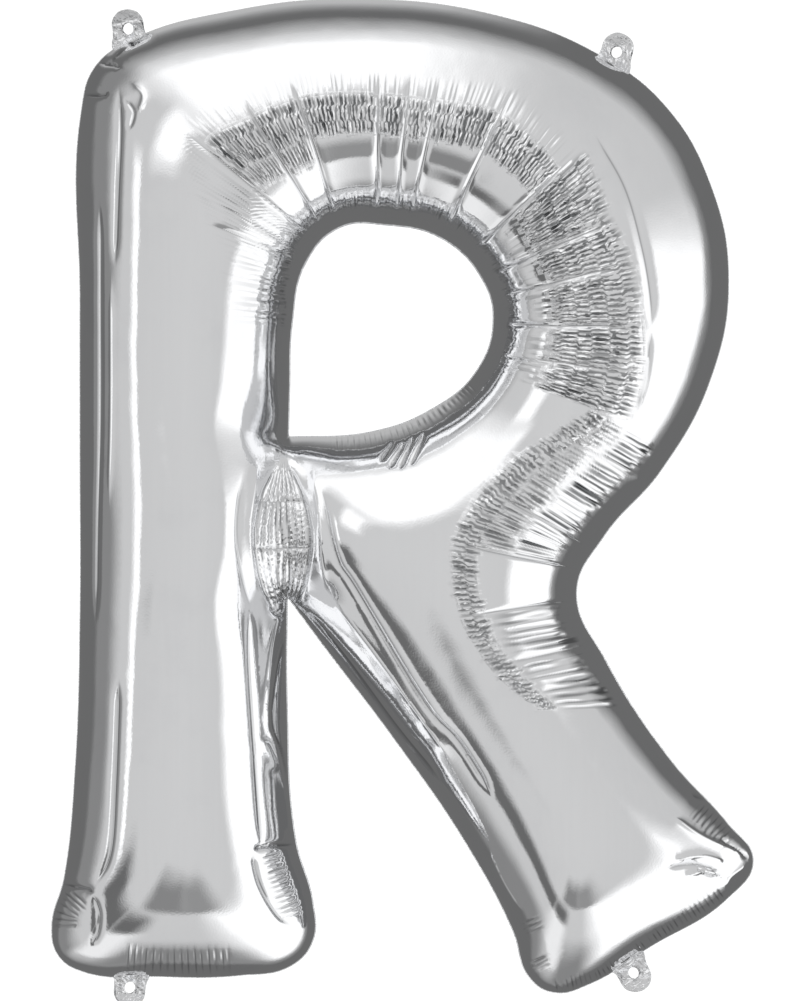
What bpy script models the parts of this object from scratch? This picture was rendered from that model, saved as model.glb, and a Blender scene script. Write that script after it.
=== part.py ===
"""Letter foil balloon: the letter R, inflated, with its welded seams, hanging tabs and filling neck.

Blender 4.5, metres, +Z up. The front faces -Y and the welded seam lies in the plane Y = 0.
The origin is halfway between the punched holes of the two upper tabs, on the line it hangs from.
"""

import math

import bmesh
import bpy
import numpy as np
from mathutils import Vector
from mathutils.geometry import delaunay_2d_cdt, interpolate_bezier

MM = 0.001
GAP = 0.3 * MM  # clearance between neighbouring pieces

# The origin, measured from the left tip of the stem's foot and the lowest point of the leg's foot.
ORIGIN_X = 263.5 * MM
ORIGIN_Z = 776.5 * MM

# The foil's cut edge, clockwise from the crotch: x, z in millimetres in the letter's own grid.
STEM_INNER_SIDE = [(194, 322), (194, 239), (201, 125)]
STEM_FOOT = [(215, 74), (215, 43), (197, 22), (155, 14), (90, 13), (24, 18), (6, 31), (1, 55), (11, 94)]
STEM_OUTER_SIDE = [(20, 182), (24, 304), (24, 443), (24, 565), (25, 719)]
TOP_LEFT_CORNER = [(36, 755), (65, 777)]
BOWL = [(147, 801), (249, 811), (367, 797), (449, 765), (502, 724), (539, 660), (554, 582)]
BOWL_UNDERSIDE = [(539, 500), (498, 425), (452, 372)]
WAIST = [(430, 327), (454, 271)]
LEG_OUTER_SIDE = [(507, 190), (553, 139)]
LEG_FOOT = [(574, 108), (553, 77), (489, 37), (440, 7), (411, 0), (391, 12), (377, 51)]
LEG_INNER_SIDE = [(337, 125), (281, 206), (219, 288)]
OUTLINE = (
    STEM_INNER_SIDE + STEM_FOOT + STEM_OUTER_SIDE + TOP_LEFT_CORNER + BOWL
    + BOWL_UNDERSIDE + WAIST + LEG_OUTER_SIDE + LEG_FOOT + LEG_INNER_SIDE
)

# The counter, clockwise from its sharp lower corner.
COUNTER = [
    (195, 454), (196, 492), (198, 545), (209, 595), (237, 624), (273, 626),
    (319, 615), (352, 582), (361, 549), (347, 507), (310, 476), (261, 458),
]

# The main creases in the gathered film: from the crown to the seam, in the same grid.
CREASES = [
    ((103, 706), (218, 612)), ((152, 736), (226, 617)), ((195, 753), (237, 624)), ((269, 756), (266, 627)),
    ((295, 754), (281, 626)), ((319, 750), (293, 624)), ((379, 740), (320, 615)), ((434, 688), (338, 597)),
    ((460, 628), (353, 582)), ((475, 593), (358, 565)), ((484, 541), (361, 545)),
    ((352, 414), (441, 360)), ((325, 367), (432, 346)), ((333, 307), (432, 322)),
]
CREASE_DEPTH = 3 * MM
CREASE_HALF_WIDTH = 4.5 * MM
CREASE_ENDS = (0.93, 0.30)  # where a crease starts and stops, as shares of the way out from the seam
CREASE_PARTS = 5
CREASE_CLEARANCE = 9 * MM  # no other point of the film lies closer to one on a crease

# Between the counter's corner and the crotch the film is pulled in: by what share, over what half width.
WAIST_LINE = [(191, 454), (191, 322)]
WAIST_SHARE = 0.30
WAIST_REACH = 34 * MM

SEAM_WIDTH = 4 * MM
SEAM_THICKNESS = 1.2 * MM
FILM_WALL = 10 * MM
TUBE_ROUNDNESS = 0.95  # depth of a straight stretch over its width
SKIRT = 12 * MM  # how far a film is carried past the seam plane before it is cut there

# Where a film's points lie: close-set by the seam, where it is steep, and wide apart on the crown.
SEAM_STEP = 15 * MM
FIRST_RING = 2 * MM  # inset of the points beside the seam, one for each seam point
RINGS = [(9 * MM, 20 * MM), (24 * MM, 27 * MM)]  # inset from the seam, spacing
RING_SHARE = 0.93  # a ring point this share of its inset from every seam is kept
GRID_STEP = 30 * MM
GRID_INSET = 41 * MM
CURVE_STEPS = 16  # points on each stretch between two anchors
SAME_POINT = 0.001 * MM

TAB_HALF_WIDTH = 15.5 * MM
TAB_LENGTH = 26 * MM
TAB_ROOT = 8 * MM  # how far a root reaches inside the cut edge before it is trimmed off
RELIEF_HALF_THICKNESS = 6 * MM
TAB_HOLE_RADIUS = 4.8 * MM
TAB_HOLE_OFFSET = 10 * MM  # from the cut edge
TABS = {  # name: root x, root z in millimetres, heading in degrees clockwise from +Z
    "tab_top_left": (65.3, 776.6, -8),
    "tab_top_right": (459.2, 757.8, 18),
    "tab_bottom_left": (66.1, 14.5, 185),
    "tab_bottom_right": (471.5, 25.3, 153),
}

NECK_X = 258 * MM
NECK_Z = 811 * MM
NECK_WIDTH = 44 * MM
NECK_LENGTH = 45 * MM
NECK_THICKNESS = 3.2 * MM
NECK_SLOT_WIDTH = 36 * MM
NECK_SLOT_THICKNESS = 1.4 * MM

FILM_COLOUR = (0.78, 0.79, 0.80)
WELD_COLOUR = (0.70, 0.71, 0.72)


def clear_scene():
    for thing in list(bpy.data.objects):
        bpy.data.objects.remove(thing, do_unlink=True)


def new_collection(name):
    collection = bpy.data.collections.new(name)
    bpy.context.scene.collection.children.link(collection)
    return collection


def foil_material(name, colour, roughness):
    material = bpy.data.materials.new(name)
    material.use_nodes = True
    shader = material.node_tree.nodes["Principled BSDF"]
    shader.inputs["Base Color"].default_value = (*colour, 1)
    shader.inputs["Metallic"].default_value = 1.0
    shader.inputs["Roughness"].default_value = roughness
    return material


def placed(points_mm):
    """Points of the letter's grid, in millimetres, as metres from the origin."""
    return np.array(points_mm, float) * MM - (ORIGIN_X, ORIGIN_Z)


def smooth_loop(anchors_mm):
    """A closed curve through the anchors, round everywhere but at the first, as close-set points."""
    guide = bpy.data.curves.new("outline_guide", "CURVE")
    spline = guide.splines.new("BEZIER")
    spline.bezier_points.add(len(anchors_mm) - 1)
    spline.use_cyclic_u = True
    for index, (x, z) in enumerate(placed(anchors_mm)):
        point = spline.bezier_points[index]
        point.co = (x, z, 0)
        point.handle_left_type = point.handle_right_type = "AUTO" if index else "VECTOR"
    guide_object = bpy.data.objects.new("outline_guide", guide)
    bpy.context.scene.collection.objects.link(guide_object)
    bpy.context.view_layer.update()
    points = []
    knots = list(spline.bezier_points)
    for start, end in zip(knots, knots[1:] + knots[:1]):
        handles = (start.co, start.handle_right, end.handle_left, end.co)
        stretch = interpolate_bezier(*handles, CURVE_STEPS + 1)
        points += [(point.x, point.y) for point in stretch[:-1]]
    bpy.data.objects.remove(guide_object)
    bpy.data.curves.remove(guide)
    return np.array(points)


def even_steps(loop, step):
    """The closed loop again, from its first point on, at even steps."""
    closed = np.vstack([loop, loop[:1]])
    run = np.concatenate([[0], np.cumsum(np.linalg.norm(np.diff(closed, axis=0), axis=1))])
    at = np.linspace(0, run[-1], round(run[-1] / step), endpoint=False)
    return np.column_stack([np.interp(at, run, closed[:, axis]) for axis in (0, 1)])


def offset(loop, distance):
    """The loop moved by the distance to the right of the way it runs."""
    along = np.roll(loop, -1, axis=0) - np.roll(loop, 1, axis=0)
    along /= np.linalg.norm(along, axis=1)[:, None]
    return loop + distance * np.column_stack([along[:, 1], -along[:, 0]])


def distance_to(loops, points):
    """Each point's distance from the nearest of the loops, of which a two-point one is a line."""
    nearest = np.full(len(points), np.inf)
    for loop in loops:
        for start, end in zip(loop, np.roll(loop, -1, axis=0)):
            edge = end - start
            share = np.clip((points - start) @ edge / (edge @ edge), 0, 1)
            gap = np.linalg.norm(points - start - share[:, None] * edge, axis=1)
            nearest = np.minimum(nearest, gap)
    return nearest


def inside(loops, points):
    """Whether each point lies in the first loop and in none of the others."""
    crossings = np.zeros(len(points), int)
    for loop in loops:
        for (x1, z1), (x2, z2) in zip(loop, np.roll(loop, -1, axis=0)):
            spans = (z1 > points[:, 1]) != (z2 > points[:, 1])
            if not spans.any():
                continue
            crossing_x = x1 + (points[:, 1] - z1) * (x2 - x1) / (z2 - z1)
            crossings += spans & (points[:, 0] < crossing_x)
    return crossings % 2 == 1


def crease_points():
    """The points on and beside the creases, and how deep each is pressed in."""
    points = []
    depths = []
    for line in CREASES:
        crown, root = placed(line)
        way = (crown - root) / np.linalg.norm(crown - root)
        side = CREASE_HALF_WIDTH * np.array([way[1], -way[0]])
        stations = [root + share * (crown - root) for share in np.linspace(*CREASE_ENDS, CREASE_PARTS + 1)]
        points += [stations[0], stations[-1]]
        depths += [0, 0]
        for station in stations[1:-1]:
            points += [station - side, station, station + side]
            depths += [0, CREASE_DEPTH, 0]
    return np.array(points), np.array(depths)


def film_points(seams, creases):
    """The points of one film in the seam plane: the seams first, the creases last."""
    points = [seams[0], seams[1]]
    for loop, side in zip(seams, (1, -1)):
        points.append(offset(loop, side * FIRST_RING))
        for inset, step in RINGS:
            ring = even_steps(offset(loop, side * inset), step)
            points.append(ring[distance_to(seams, ring) > RING_SHARE * inset])
    low = seams[0].min(axis=0)
    high = seams[0].max(axis=0)
    rows = np.arange(low[1], high[1], GRID_STEP * math.sqrt(0.75))
    columns = np.arange(low[0], high[0], GRID_STEP)
    grid = np.array([(x + GRID_STEP / 2 * (row % 2), z) for row, z in enumerate(rows) for x in columns])
    grid = grid[inside(seams, grid)]
    points.append(grid[distance_to(seams, grid) > GRID_INSET])
    points[2:] = [
        batch[np.linalg.norm(batch[:, None] - creases, axis=2).min(axis=1) > CREASE_CLEARANCE]
        for batch in points[2:]
    ]
    return np.vstack([*points, creases])


def film_triangles(points, seams):
    """Triangles between the seams, wound so that they face -Y."""
    outer = len(seams[0])
    whole = outer + len(seams[1])
    edges = [(i, (i + 1) % outer) for i in range(outer)]
    edges += [(i, i + 1 if i + 1 < whole else outer) for i in range(outer, whole)]
    made = delaunay_2d_cdt([Vector(point) for point in points], edges, [], 0, SAME_POINT)
    corners = np.array([vertex[:] for vertex in made[0]])
    triangles = np.array(made[2])
    triangles = triangles[inside(seams, corners[triangles].mean(axis=1))]
    a, b, c = (corners[triangles[:, i]] for i in range(3))
    turned = (b - a)[:, 0] * (c - a)[:, 1] < (b - a)[:, 1] * (c - a)[:, 0]
    triangles[turned] = triangles[turned][:, ::-1]
    return corners, triangles


def inflated_heights(points, triangles, pinned):
    """How far the filled film stands off the seam plane: the root of a loaded membrane's sag.

    A long straight stretch comes out with a round section, and a wide one flatter.
    """
    stiffness = np.zeros((len(points), len(points)))
    load = np.zeros(len(points))
    for corner in range(3):
        here = triangles[:, corner]
        left = triangles[:, (corner + 1) % 3]
        right = triangles[:, (corner + 2) % 3]
        u = points[left] - points[here]
        v = points[right] - points[here]
        twice_area = np.abs(u[:, 0] * v[:, 1] - u[:, 1] * v[:, 0])
        weight = (u * v).sum(axis=1) / twice_area / 2
        for start, end in ((left, right), (right, left)):
            np.add.at(stiffness, (start, start), weight)
            np.add.at(stiffness, (start, end), -weight)
        np.add.at(load, here, twice_area / 3)
    free = np.arange(len(points)) >= pinned
    sag = np.zeros(len(points))
    sag[free] = np.linalg.solve(stiffness[np.ix_(free, free)], load[free])
    return TUBE_ROUNDNESS * np.sqrt(np.maximum(sag, 0))


def half_space(name, side, cutters):
    """A box that holds everything on one side of the seam plane."""
    bpy.ops.mesh.primitive_cube_add(size=2, location=(0, side * (1 + GAP / 2), 0))
    box = bpy.context.object
    box.name = name
    box.hide_render = True
    box.display_type = "WIRE"
    box.users_collection[0].objects.unlink(box)
    cutters.objects.link(box)
    return box


def film(name, side, corners, triangles, heights, balloon, cutters, material):
    """One of the two films, as a shell open at the seam plane: side -1 is the front, 1 the back."""
    shape = bmesh.new()
    verts = [shape.verts.new((x, side * y, z)) for (x, z), y in zip(corners, heights)]
    for triangle in triangles:
        shape.faces.new([verts[i] for i in triangle][::-side])
    rim = [edge for edge in shape.edges if edge.is_boundary]
    skirt = bmesh.ops.extrude_edge_only(shape, edges=rim)["geom"]
    moved = [item for item in skirt if isinstance(item, bmesh.types.BMVert)]
    bmesh.ops.translate(shape, verts=moved, vec=(0, -side * SKIRT, 0))
    bmesh.ops.recalc_face_normals(shape, faces=shape.faces)
    crown = max(shape.faces, key=lambda face: side * face.calc_center_median().y)
    if crown.normal.y * side < 0:
        bmesh.ops.reverse_faces(shape, faces=shape.faces)
    mesh = bpy.data.meshes.new(name)
    shape.to_mesh(mesh)
    shape.free()
    mesh.shade_smooth()
    mesh.materials.append(material)
    shell = bpy.data.objects.new(name, mesh)
    balloon.objects.link(shell)
    wall = shell.modifiers.new("film wall", "SOLIDIFY")
    wall.thickness = FILM_WALL
    wall.offset = -1
    cut = shell.modifiers.new("cut at the seam plane", "BOOLEAN")
    cut.operation = "INTERSECT"
    cut.object = half_space(name + "_side", side, cutters)
    return shell


def flat_sheet(name, loops, half_thickness, upright=True):
    """A flat outline with holes, as a welded mesh: in the seam plane, or level where not upright."""
    curve = bpy.data.curves.new(name, "CURVE")
    curve.dimensions = "2D"
    curve.fill_mode = "BOTH"
    curve.extrude = half_thickness
    for loop in loops:
        spline = curve.splines.new("POLY")
        spline.points.add(len(loop) - 1)
        spline.use_cyclic_u = True
        for point, (x, y) in zip(spline.points, loop):
            point.co = (x, y, 0, 1)
    flat = bpy.data.objects.new(name, curve)
    bpy.context.scene.collection.objects.link(flat)
    bpy.context.view_layer.update()
    graph = bpy.context.evaluated_depsgraph_get()
    mesh = bpy.data.meshes.new_from_object(flat.evaluated_get(graph))
    bpy.data.objects.remove(flat)
    bpy.data.curves.remove(curve)
    mesh.name = name
    shape = bmesh.new()
    shape.from_mesh(mesh)
    bmesh.ops.remove_doubles(shape, verts=shape.verts, dist=10 * SAME_POINT)
    bmesh.ops.recalc_face_normals(shape, faces=shape.faces)
    shape.to_mesh(mesh)
    shape.free()
    sheet = bpy.data.objects.new(name, mesh)
    sheet.rotation_euler.x = math.pi / 2 if upright else 0
    return sheet


def seam_band(name, cut_edge, side, balloon, material):
    """The flat welded border between a cut edge and its seam line."""
    shape = bmesh.new()
    edges = []
    for loop in (cut_edge, offset(cut_edge, side * (SEAM_WIDTH - GAP))):
        verts = [shape.verts.new((x, 0, z)) for x, z in loop]
        edges += [shape.edges.new(pair) for pair in zip(verts, verts[1:] + verts[:1])]
    bmesh.ops.bridge_loops(shape, edges=edges)
    bmesh.ops.recalc_face_normals(shape, faces=shape.faces)
    mesh = bpy.data.meshes.new(name)
    shape.to_mesh(mesh)
    shape.free()
    mesh.materials.append(material)
    band = bpy.data.objects.new(name, mesh)
    balloon.objects.link(band)
    weld = band.modifiers.new("weld thickness", "SOLIDIFY")
    weld.thickness = SEAM_THICKNESS
    weld.offset = 0


def outline_relief(cut_edge, cutters):
    """The whole letter out to just past its cut edge, which trims the roots of tabs and neck."""
    relief = flat_sheet("letter_relief", [offset(cut_edge, -GAP)], RELIEF_HALF_THICKNESS)
    relief.hide_render = True
    relief.display_type = "WIRE"
    cutters.objects.link(relief)
    return relief


def trim_root(piece, relief):
    cut = piece.modifiers.new("root trimmed to the seam", "BOOLEAN")
    cut.operation = "DIFFERENCE"
    cut.object = relief


def hanging_tab(name, root_x, root_z, heading, relief, balloon, material):
    """A round-tipped tongue of foil with a punched hole."""
    turns = np.linspace(0, math.pi, 17)
    tongue = [(TAB_HALF_WIDTH * math.cos(t), TAB_LENGTH * math.sin(t)) for t in turns]
    tongue += [(-TAB_HALF_WIDTH, -TAB_ROOT), (TAB_HALF_WIDTH, -TAB_ROOT)]
    around = np.linspace(0, 2 * math.pi, 16, endpoint=False)
    hole = [
        (TAB_HOLE_RADIUS * math.cos(t), TAB_HOLE_OFFSET + TAB_HOLE_RADIUS * math.sin(t))
        for t in around
    ]
    tab = flat_sheet(name, (tongue, hole), SEAM_THICKNESS / 2)
    (x, z), = placed([(root_x, root_z)])
    tab.location = (x, 0, z)
    tab.rotation_euler = (math.pi / 2, math.radians(heading), 0)
    tab.data.materials.append(material)
    balloon.objects.link(tab)
    trim_root(tab, relief)


def rounded_bar(width, thickness):
    """A level outline with round ends, centred on the origin."""
    radius = thickness / 2
    reach = width / 2 - radius
    turns = np.linspace(-math.pi / 2, math.pi / 2, 7)
    right = [(reach + radius * math.cos(t), radius * math.sin(t)) for t in turns]
    return right + [(-x, -y) for x, y in right]


def filling_neck(relief, balloon, material):
    """The flat sleeve that gas is let in through, open at its mouth."""
    loops = (
        rounded_bar(NECK_WIDTH, NECK_THICKNESS),
        rounded_bar(NECK_SLOT_WIDTH, NECK_SLOT_THICKNESS),
    )
    neck = flat_sheet("filling_neck", loops, (NECK_LENGTH + TAB_ROOT) / 2, upright=False)
    neck.location = (NECK_X - ORIGIN_X, 0, NECK_Z - ORIGIN_Z + (NECK_LENGTH - TAB_ROOT) / 2)
    neck.data.materials.append(material)
    balloon.objects.link(neck)
    trim_root(neck, relief)


def main():
    clear_scene()
    balloon = new_collection("letter_foil_balloon")
    cutters = new_collection("cutters")
    film_silver = foil_material("film_silver", FILM_COLOUR, 0.08)
    weld_silver = foil_material("weld_silver", WELD_COLOUR, 0.25)

    outer_edge = even_steps(smooth_loop(OUTLINE), SEAM_STEP)
    counter_edge = even_steps(smooth_loop(COUNTER), SEAM_STEP)
    seams = (offset(outer_edge, SEAM_WIDTH), offset(counter_edge, -SEAM_WIDTH))
    creases, depths = crease_points()
    corners, triangles = film_triangles(film_points(seams, creases), seams)
    heights = inflated_heights(corners, triangles, len(outer_edge) + len(counter_edge))
    heights *= 1 - WAIST_SHARE * np.exp(-(distance_to([placed(WAIST_LINE)], corners) / WAIST_REACH) ** 2)
    heights[-len(depths):] -= depths
    for name, side in (("front_film", -1), ("back_film", 1)):
        film(name, side, corners, triangles, heights, balloon, cutters, film_silver)

    seam_band("outer_seam", outer_edge, 1, balloon, weld_silver)
    seam_band("counter_seam", counter_edge, -1, balloon, weld_silver)
    relief = outline_relief(outer_edge, cutters)
    for name, (root_x, root_z, heading) in TABS.items():
        hanging_tab(name, root_x, root_z, heading, relief, balloon, weld_silver)
    filling_neck(relief, balloon, weld_silver)


main()
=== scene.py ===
"""Letter foil balloon: the look of its films, welded borders, hanging tabs and filling neck.

Blender 4.5, metres, +Z up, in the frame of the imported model. The front faces -Y and the welds lie in the
plane Y = 0. Laid out as an add-on: each operator makes one piece or one group of like pieces.
"""

import math
from collections import namedtuple

import bmesh
import bpy
import numpy as np
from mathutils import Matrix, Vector
from mathutils.geometry import delaunay_2d_cdt, interpolate_bezier
from mathutils.kdtree import KDTree


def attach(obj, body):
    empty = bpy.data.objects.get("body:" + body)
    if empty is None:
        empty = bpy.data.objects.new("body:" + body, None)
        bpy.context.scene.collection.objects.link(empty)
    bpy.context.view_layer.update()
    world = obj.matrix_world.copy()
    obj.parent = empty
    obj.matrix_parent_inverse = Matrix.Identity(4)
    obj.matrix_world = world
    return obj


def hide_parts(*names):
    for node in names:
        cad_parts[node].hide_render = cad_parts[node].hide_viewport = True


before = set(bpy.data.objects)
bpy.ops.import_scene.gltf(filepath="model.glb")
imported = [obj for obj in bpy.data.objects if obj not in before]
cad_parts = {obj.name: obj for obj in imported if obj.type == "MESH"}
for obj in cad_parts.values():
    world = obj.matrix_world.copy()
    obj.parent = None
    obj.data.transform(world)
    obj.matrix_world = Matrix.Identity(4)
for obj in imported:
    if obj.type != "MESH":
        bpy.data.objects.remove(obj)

bl_info = {
    "name": "Letter foil balloon",
    "version": (1, 0, 0),
    "blender": (4, 5, 0),
    "location": "3D View > Sidebar > Balloon",
    "description": "Makes the films, welds, tabs and neck of an inflated foil letter",
    "category": "Object",
}

MM = 0.001
FACE_LIMIT = 200000  # triangles in one piece

# The origin, measured from the left tip of the stem's foot and the lowest point of the leg's foot.
ORIGIN = np.array([263.5, 776.5]) * MM

# The foil's cut edge, clockwise from the crotch: x, z in millimetres in the letter's own grid.
STEM_INNER_SIDE = [(194, 322), (194, 239), (201, 125)]
STEM_FOOT = [(215, 74), (215, 43), (197, 22), (155, 14), (90, 13), (24, 18), (6, 31), (1, 55), (11, 94)]
STEM_OUTER_SIDE = [(20, 182), (24, 304), (24, 443), (24, 565), (25, 719)]
TOP_LEFT_CORNER = [(36, 755), (65, 777)]
BOWL = [(147, 801), (249, 811), (367, 797), (449, 765), (502, 724), (539, 660), (554, 582)]
BOWL_UNDERSIDE = [(539, 500), (498, 425), (452, 372)]
WAIST = [(430, 327), (454, 271)]
LEG_OUTER_SIDE = [(507, 190), (553, 139)]
LEG_FOOT = [(574, 108), (553, 77), (489, 37), (440, 7), (411, 0), (391, 12), (377, 51)]
LEG_INNER_SIDE = [(337, 125), (281, 206), (219, 288)]
OUTLINE = (
    STEM_INNER_SIDE + STEM_FOOT + STEM_OUTER_SIDE + TOP_LEFT_CORNER + BOWL
    + BOWL_UNDERSIDE + WAIST + LEG_OUTER_SIDE + LEG_FOOT + LEG_INNER_SIDE
)

# The counter, clockwise from its sharp lower corner.
COUNTER = [
    (195, 454), (196, 492), (198, 545), (209, 595), (237, 624), (273, 626),
    (319, 615), (352, 582), (361, 549), (347, 507), (310, 476), (261, 458),
]

SEAM_WIDTH = 4 * MM
# The films are pulled in between the counter's corner and the crotch: by what share, over what half width.
WAIST_LINE = [(191, 454), (191, 322)]
WAIST_SHARE = 0.30
WAIST_REACH = 34 * MM
# The leg's foot is blown out fuller than the rest: about which place, over what reach, and by what share.
FULL_PLACE = (408, 60)
FULL_REACH = 36 * MM
FULL_SHARE = 0.16
# The filled film bulges out past its seam: by how much, and how soon that starts and fades from the seam.
RIM_BULGE = 4.2 * MM
RIM_START = 0.25 * MM
RIM_REACH = 12 * MM

CURVE_STEPS = 48  # points on each stretch between two anchors
LOOP_STEP = 0.5 * MM  # between the close-set points of a seam line
RIM_STEPS = 3  # of those between two points of a film's rim
SAME_POINT = 0.001 * MM  # nearer points are joined
SOLVER_STEPS = 3000
SOLVER_END = 1e-12  # the solver stops where this share of the load is left over

# The rings of points beside a seam, and the grids of points within: corners of a box, and spacing.
RINGS = 12
RING_REACH = 32 * MM
RING_GROWTH = 1.8  # how much the rings crowd towards the seam
GRIDS = [
    (((0, 0), (580, 815)), 5 * MM),
    (((224, 180), (330, 400)), 4 * MM),
]
CLOSEST = 1.3 * MM  # free points stay this far from a fan and from those of another kind
CLOSEST_FINE = 0.6 * MM  # those of the folds are thinned to this
RING_CLEAR = 0.95  # a ring's point goes where a seam is nearer than this share of the ring's inset
RING_SLACK = 0.3 * MM  # less this
LIP_INSET = 0.7 * MM  # one more ring stands here, where the film bulges out furthest
LIP_CLEAR = 0.9  # and a point of this one goes below this share
LOOP_SKIP = 8  # every so many points of a seam line do to tell what lies inside it
FAN_SKIP = 4  # and of a fan's outline

# Spokes of the pleated fans in the same grid: where a pleat ends on the crown, and its root at the seam.
COUNTER_FAN = [
    ((141, 540), (197, 540)), ((134, 583), (201, 570)), ((122, 628), (208, 594)), ((103, 706), (218, 612)),
    ((152, 736), (226, 617)), ((195, 753), (237, 624)), ((240, 757), (252, 626)), ((269, 756), (266, 627)),
    ((295, 754), (281, 626)), ((319, 750), (293, 624)), ((379, 740), (320, 615)), ((434, 688), (338, 597)),
    ((460, 628), (353, 582)), ((475, 593), (358, 565)), ((484, 541), (361, 545)), ((484, 502), (357, 522)),
    ((474, 462), (350, 508)),
]
WAIST_FAN = [
    ((440, 476), (508, 440)), ((409, 458), (487, 415)), ((383, 441), (467, 391)), ((352, 414), (441, 360)),
    ((336, 392), (437, 356)), ((325, 367), (432, 346)), ((326, 341), (431, 335)), ((333, 307), (432, 322)),
    ((342, 290), (436, 306)), ((356, 268), (446, 288)), ((374, 250), (458, 266)), ((398, 232), (476, 236)),
]
# The rows of points across a fan: from where to where between root (0) and crown (1), and how many.
COUNTER_ROWS = [(0, 0.30, 13), (0.30, 0.62, 10), (0.62, 0.92, 22), (0.92, 1, 5)]
WAIST_ROWS = [(0, 0.26, 10), (0.26, 1, 32)]
# Both fans: distance between their lines on the crown, how much the rows crowd towards the root, and up to
# which row only every other line has points.
FANS = [
    (COUNTER_FAN, COUNTER_ROWS, 0.78 * MM, 1.7, 0.4),
    (WAIST_FAN, WAIST_ROWS, 0.85 * MM, 1.6, 0.25),
]
CROWN_STEPS = 2000  # points that the length of the crowns is measured by
ROOT_EVENING = 24  # the roots are evened out over this many lines

# A band of pleats: the two spokes it lies between, over how many spokes its sides are soft, from where to
# where it fades in and fades out between root (0) and crown (1), how far those ends wander, the pleats'
# pitch, how soon one changes along its length, how many rows they stand in, how far every other row is
# shifted in pitches, their depth, how dark the painted shade in their folds is, and what share of the
# painted dark dashes and facets they carry.
Band = namedtuple("Band", "spokes soft fade_in fade_out wander pitch dash rows bricks height shade sparkle")
# A fold: its path, its depth, its half width, and over what length it fades at its ends.
Fold = namedtuple("Fold", "points depth width fade")
# A row of small ribs across a path: the path, their pitch, their reach to each side, and their height.
Ribs = namedtuple("Ribs", "points pitch reach height")

# The creases that cross a fan, by spoke, and how strong each is.
FAN_CREASES = [
    {2: 0.5, 3: 0.9, 4: 1.1, 5: 1.2, 7: 1.1, 8: 0.9, 9: 0.9, 10: 1.3, 11: 1.2, 12: 1.0, 13: 0.9,
     14: 1.3, 15: 0.5},
    {1: 0.3, 3: 1.0, 5: 1.2, 7: 1.1, 9: 0.3},
]
# Bands of fine pleats across a fan: between two spokes, and from the root (0) to the crown (1).
FAN_BANDS = [
    [
        Band((3, 12), 0.2, (0.685, 0.70), (0.845, 0.875), 0.01, 4.25 * MM, 0.05, 3, 0.5, 2.0 * MM, 0.95, 1.0),
        Band((2, 12), 0.5, (0.84, 0.89), (0.91, 0.98), 0.02, 4.25 * MM, 0.3, 1, 0, 0.3 * MM, 0.1, 0.0),
        Band((11, 16), 0.15, (0.54, 0.60), (0.95, 1.0), 0.02, 4.4 * MM, 0.05, 6, 0.5, 2.0 * MM, 0.9, 0.9),
        Band((11, 16), 0.2, (0.40, 0.46), (0.52, 0.58), 0.06, 8.0 * MM, 0.1, 1, 0, 0.5 * MM, 0.4, 0.1),
        Band((3, 5), 0.2, (0.58, 0.60), (0.68, 0.70), 0.02, 4.25 * MM, 0.05, 1, 0, 1.3 * MM, 0.6, 0.6),
        Band((0, 16), 0.3, (0.24, 0.28), (0.31, 0.35), 0.03, 4.4 * MM, 0.04, 1, 0, 0.8 * MM, 0.5, 0.1),
        Band((0, 3), 0.4, (0.30, 0.42), (0.62, 0.92), 0.10, 6.0 * MM, 0.25, 1, 0, 0.9 * MM, 0.3, 0.1),
    ],
    [
        Band((0, 5), 0.1, (0.34, 0.40), (0.60, 0.68), 0.03, 4.2 * MM, 0.3, 1, 0, 2.2 * MM, 1.0, 0.1),
        Band((0, 5), 0.1, (0.66, 0.72), (0.82, 0.86), 0.03, 4.2 * MM, 0.12, 1, 0, 1.6 * MM, 0.8, 0.4),
        Band((0, 11), 0.1, (0.84, 0.87), (0.96, 1.0), 0.02, 4.4 * MM, 0.06, 2, 0.5, 1.5 * MM, 0.8, 0.8),
        Band((7, 11), 0.1, (0.28, 0.36), (0.72, 0.86), 0.06, 7.0 * MM, 0.25, 1, 0, 2.0 * MM, 0.7, 0.0),
    ],
]
FAN_DEPTH = 120 * MM  # from a seam to the crowns
ROW_HEIGHT = 0.28 * MM  # how far a band's rows of pleats stand in and out, one row beside the next
PLEAT_LEAN = 0.28  # a pleat's crest lies up to this share of the pitch off its middle
PLEAT_SCATTER = 0.11  # how uneven the pitch is
PLEAT_STEPS = (0.5, 1.6)  # the narrowest pleat and the widest, in pitches
VALLEYS_OVER = 1.5  # so many times the valleys are placed that fit at the pitch, and these more
SPARE_PLEATS = 4
PLEAT_SWAY = 0.08  # how far a pleat sways along its length, in pitches
SWAY_LENGTH = 0.12  # and over what share of the way from root to crown
VALLEY_DEPTH = 0.8  # how deep a valley is, over the band's depth, and how much that changes along it
VALLEY_CHANGE = 0.5
CREST_DENTS = 0.35  # and how deep a crest is dented
PLEAT_SIZES = (0.6, 1.2)  # the shallowest and the deepest, over the band's depth
PLEAT_RISE = 0.55  # how far the crests stand above the plain film, as a share of the pleats' depth
PLEAT_DARK = (0.4, 0.75)  # how far down into a pleat its painted shade starts, and is full
CREASE_WIDTH = 1.8 * MM  # a crease's half width, at strength 1
CREASE_SHARPNESS = 1.2
CREASE_DIP = 0.8 * MM  # the soft dip that it lies in
CREASE_DIP_WIDTH = 3.2 * MM
CREASE_CLEAR = 2.6 * MM  # the fine pleats fade out this near a crease
CREASE_LINE = 0.6 * MM  # width of the painted shade line at its bottom
CREASE_SHADE = 0.6
CREASE_WANDER = 0.8 * MM
CREASE_TURNS = 6
CREASE_FADE_IN = (0.22, 0.34)
CREASE_FADE_OUT = (0.78, 0.98)
GORE_BULGE = 0.004  # height of a gore over its width
PINCH_REACH = 5 * MM  # folds come to nothing over this much before a seam
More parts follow.
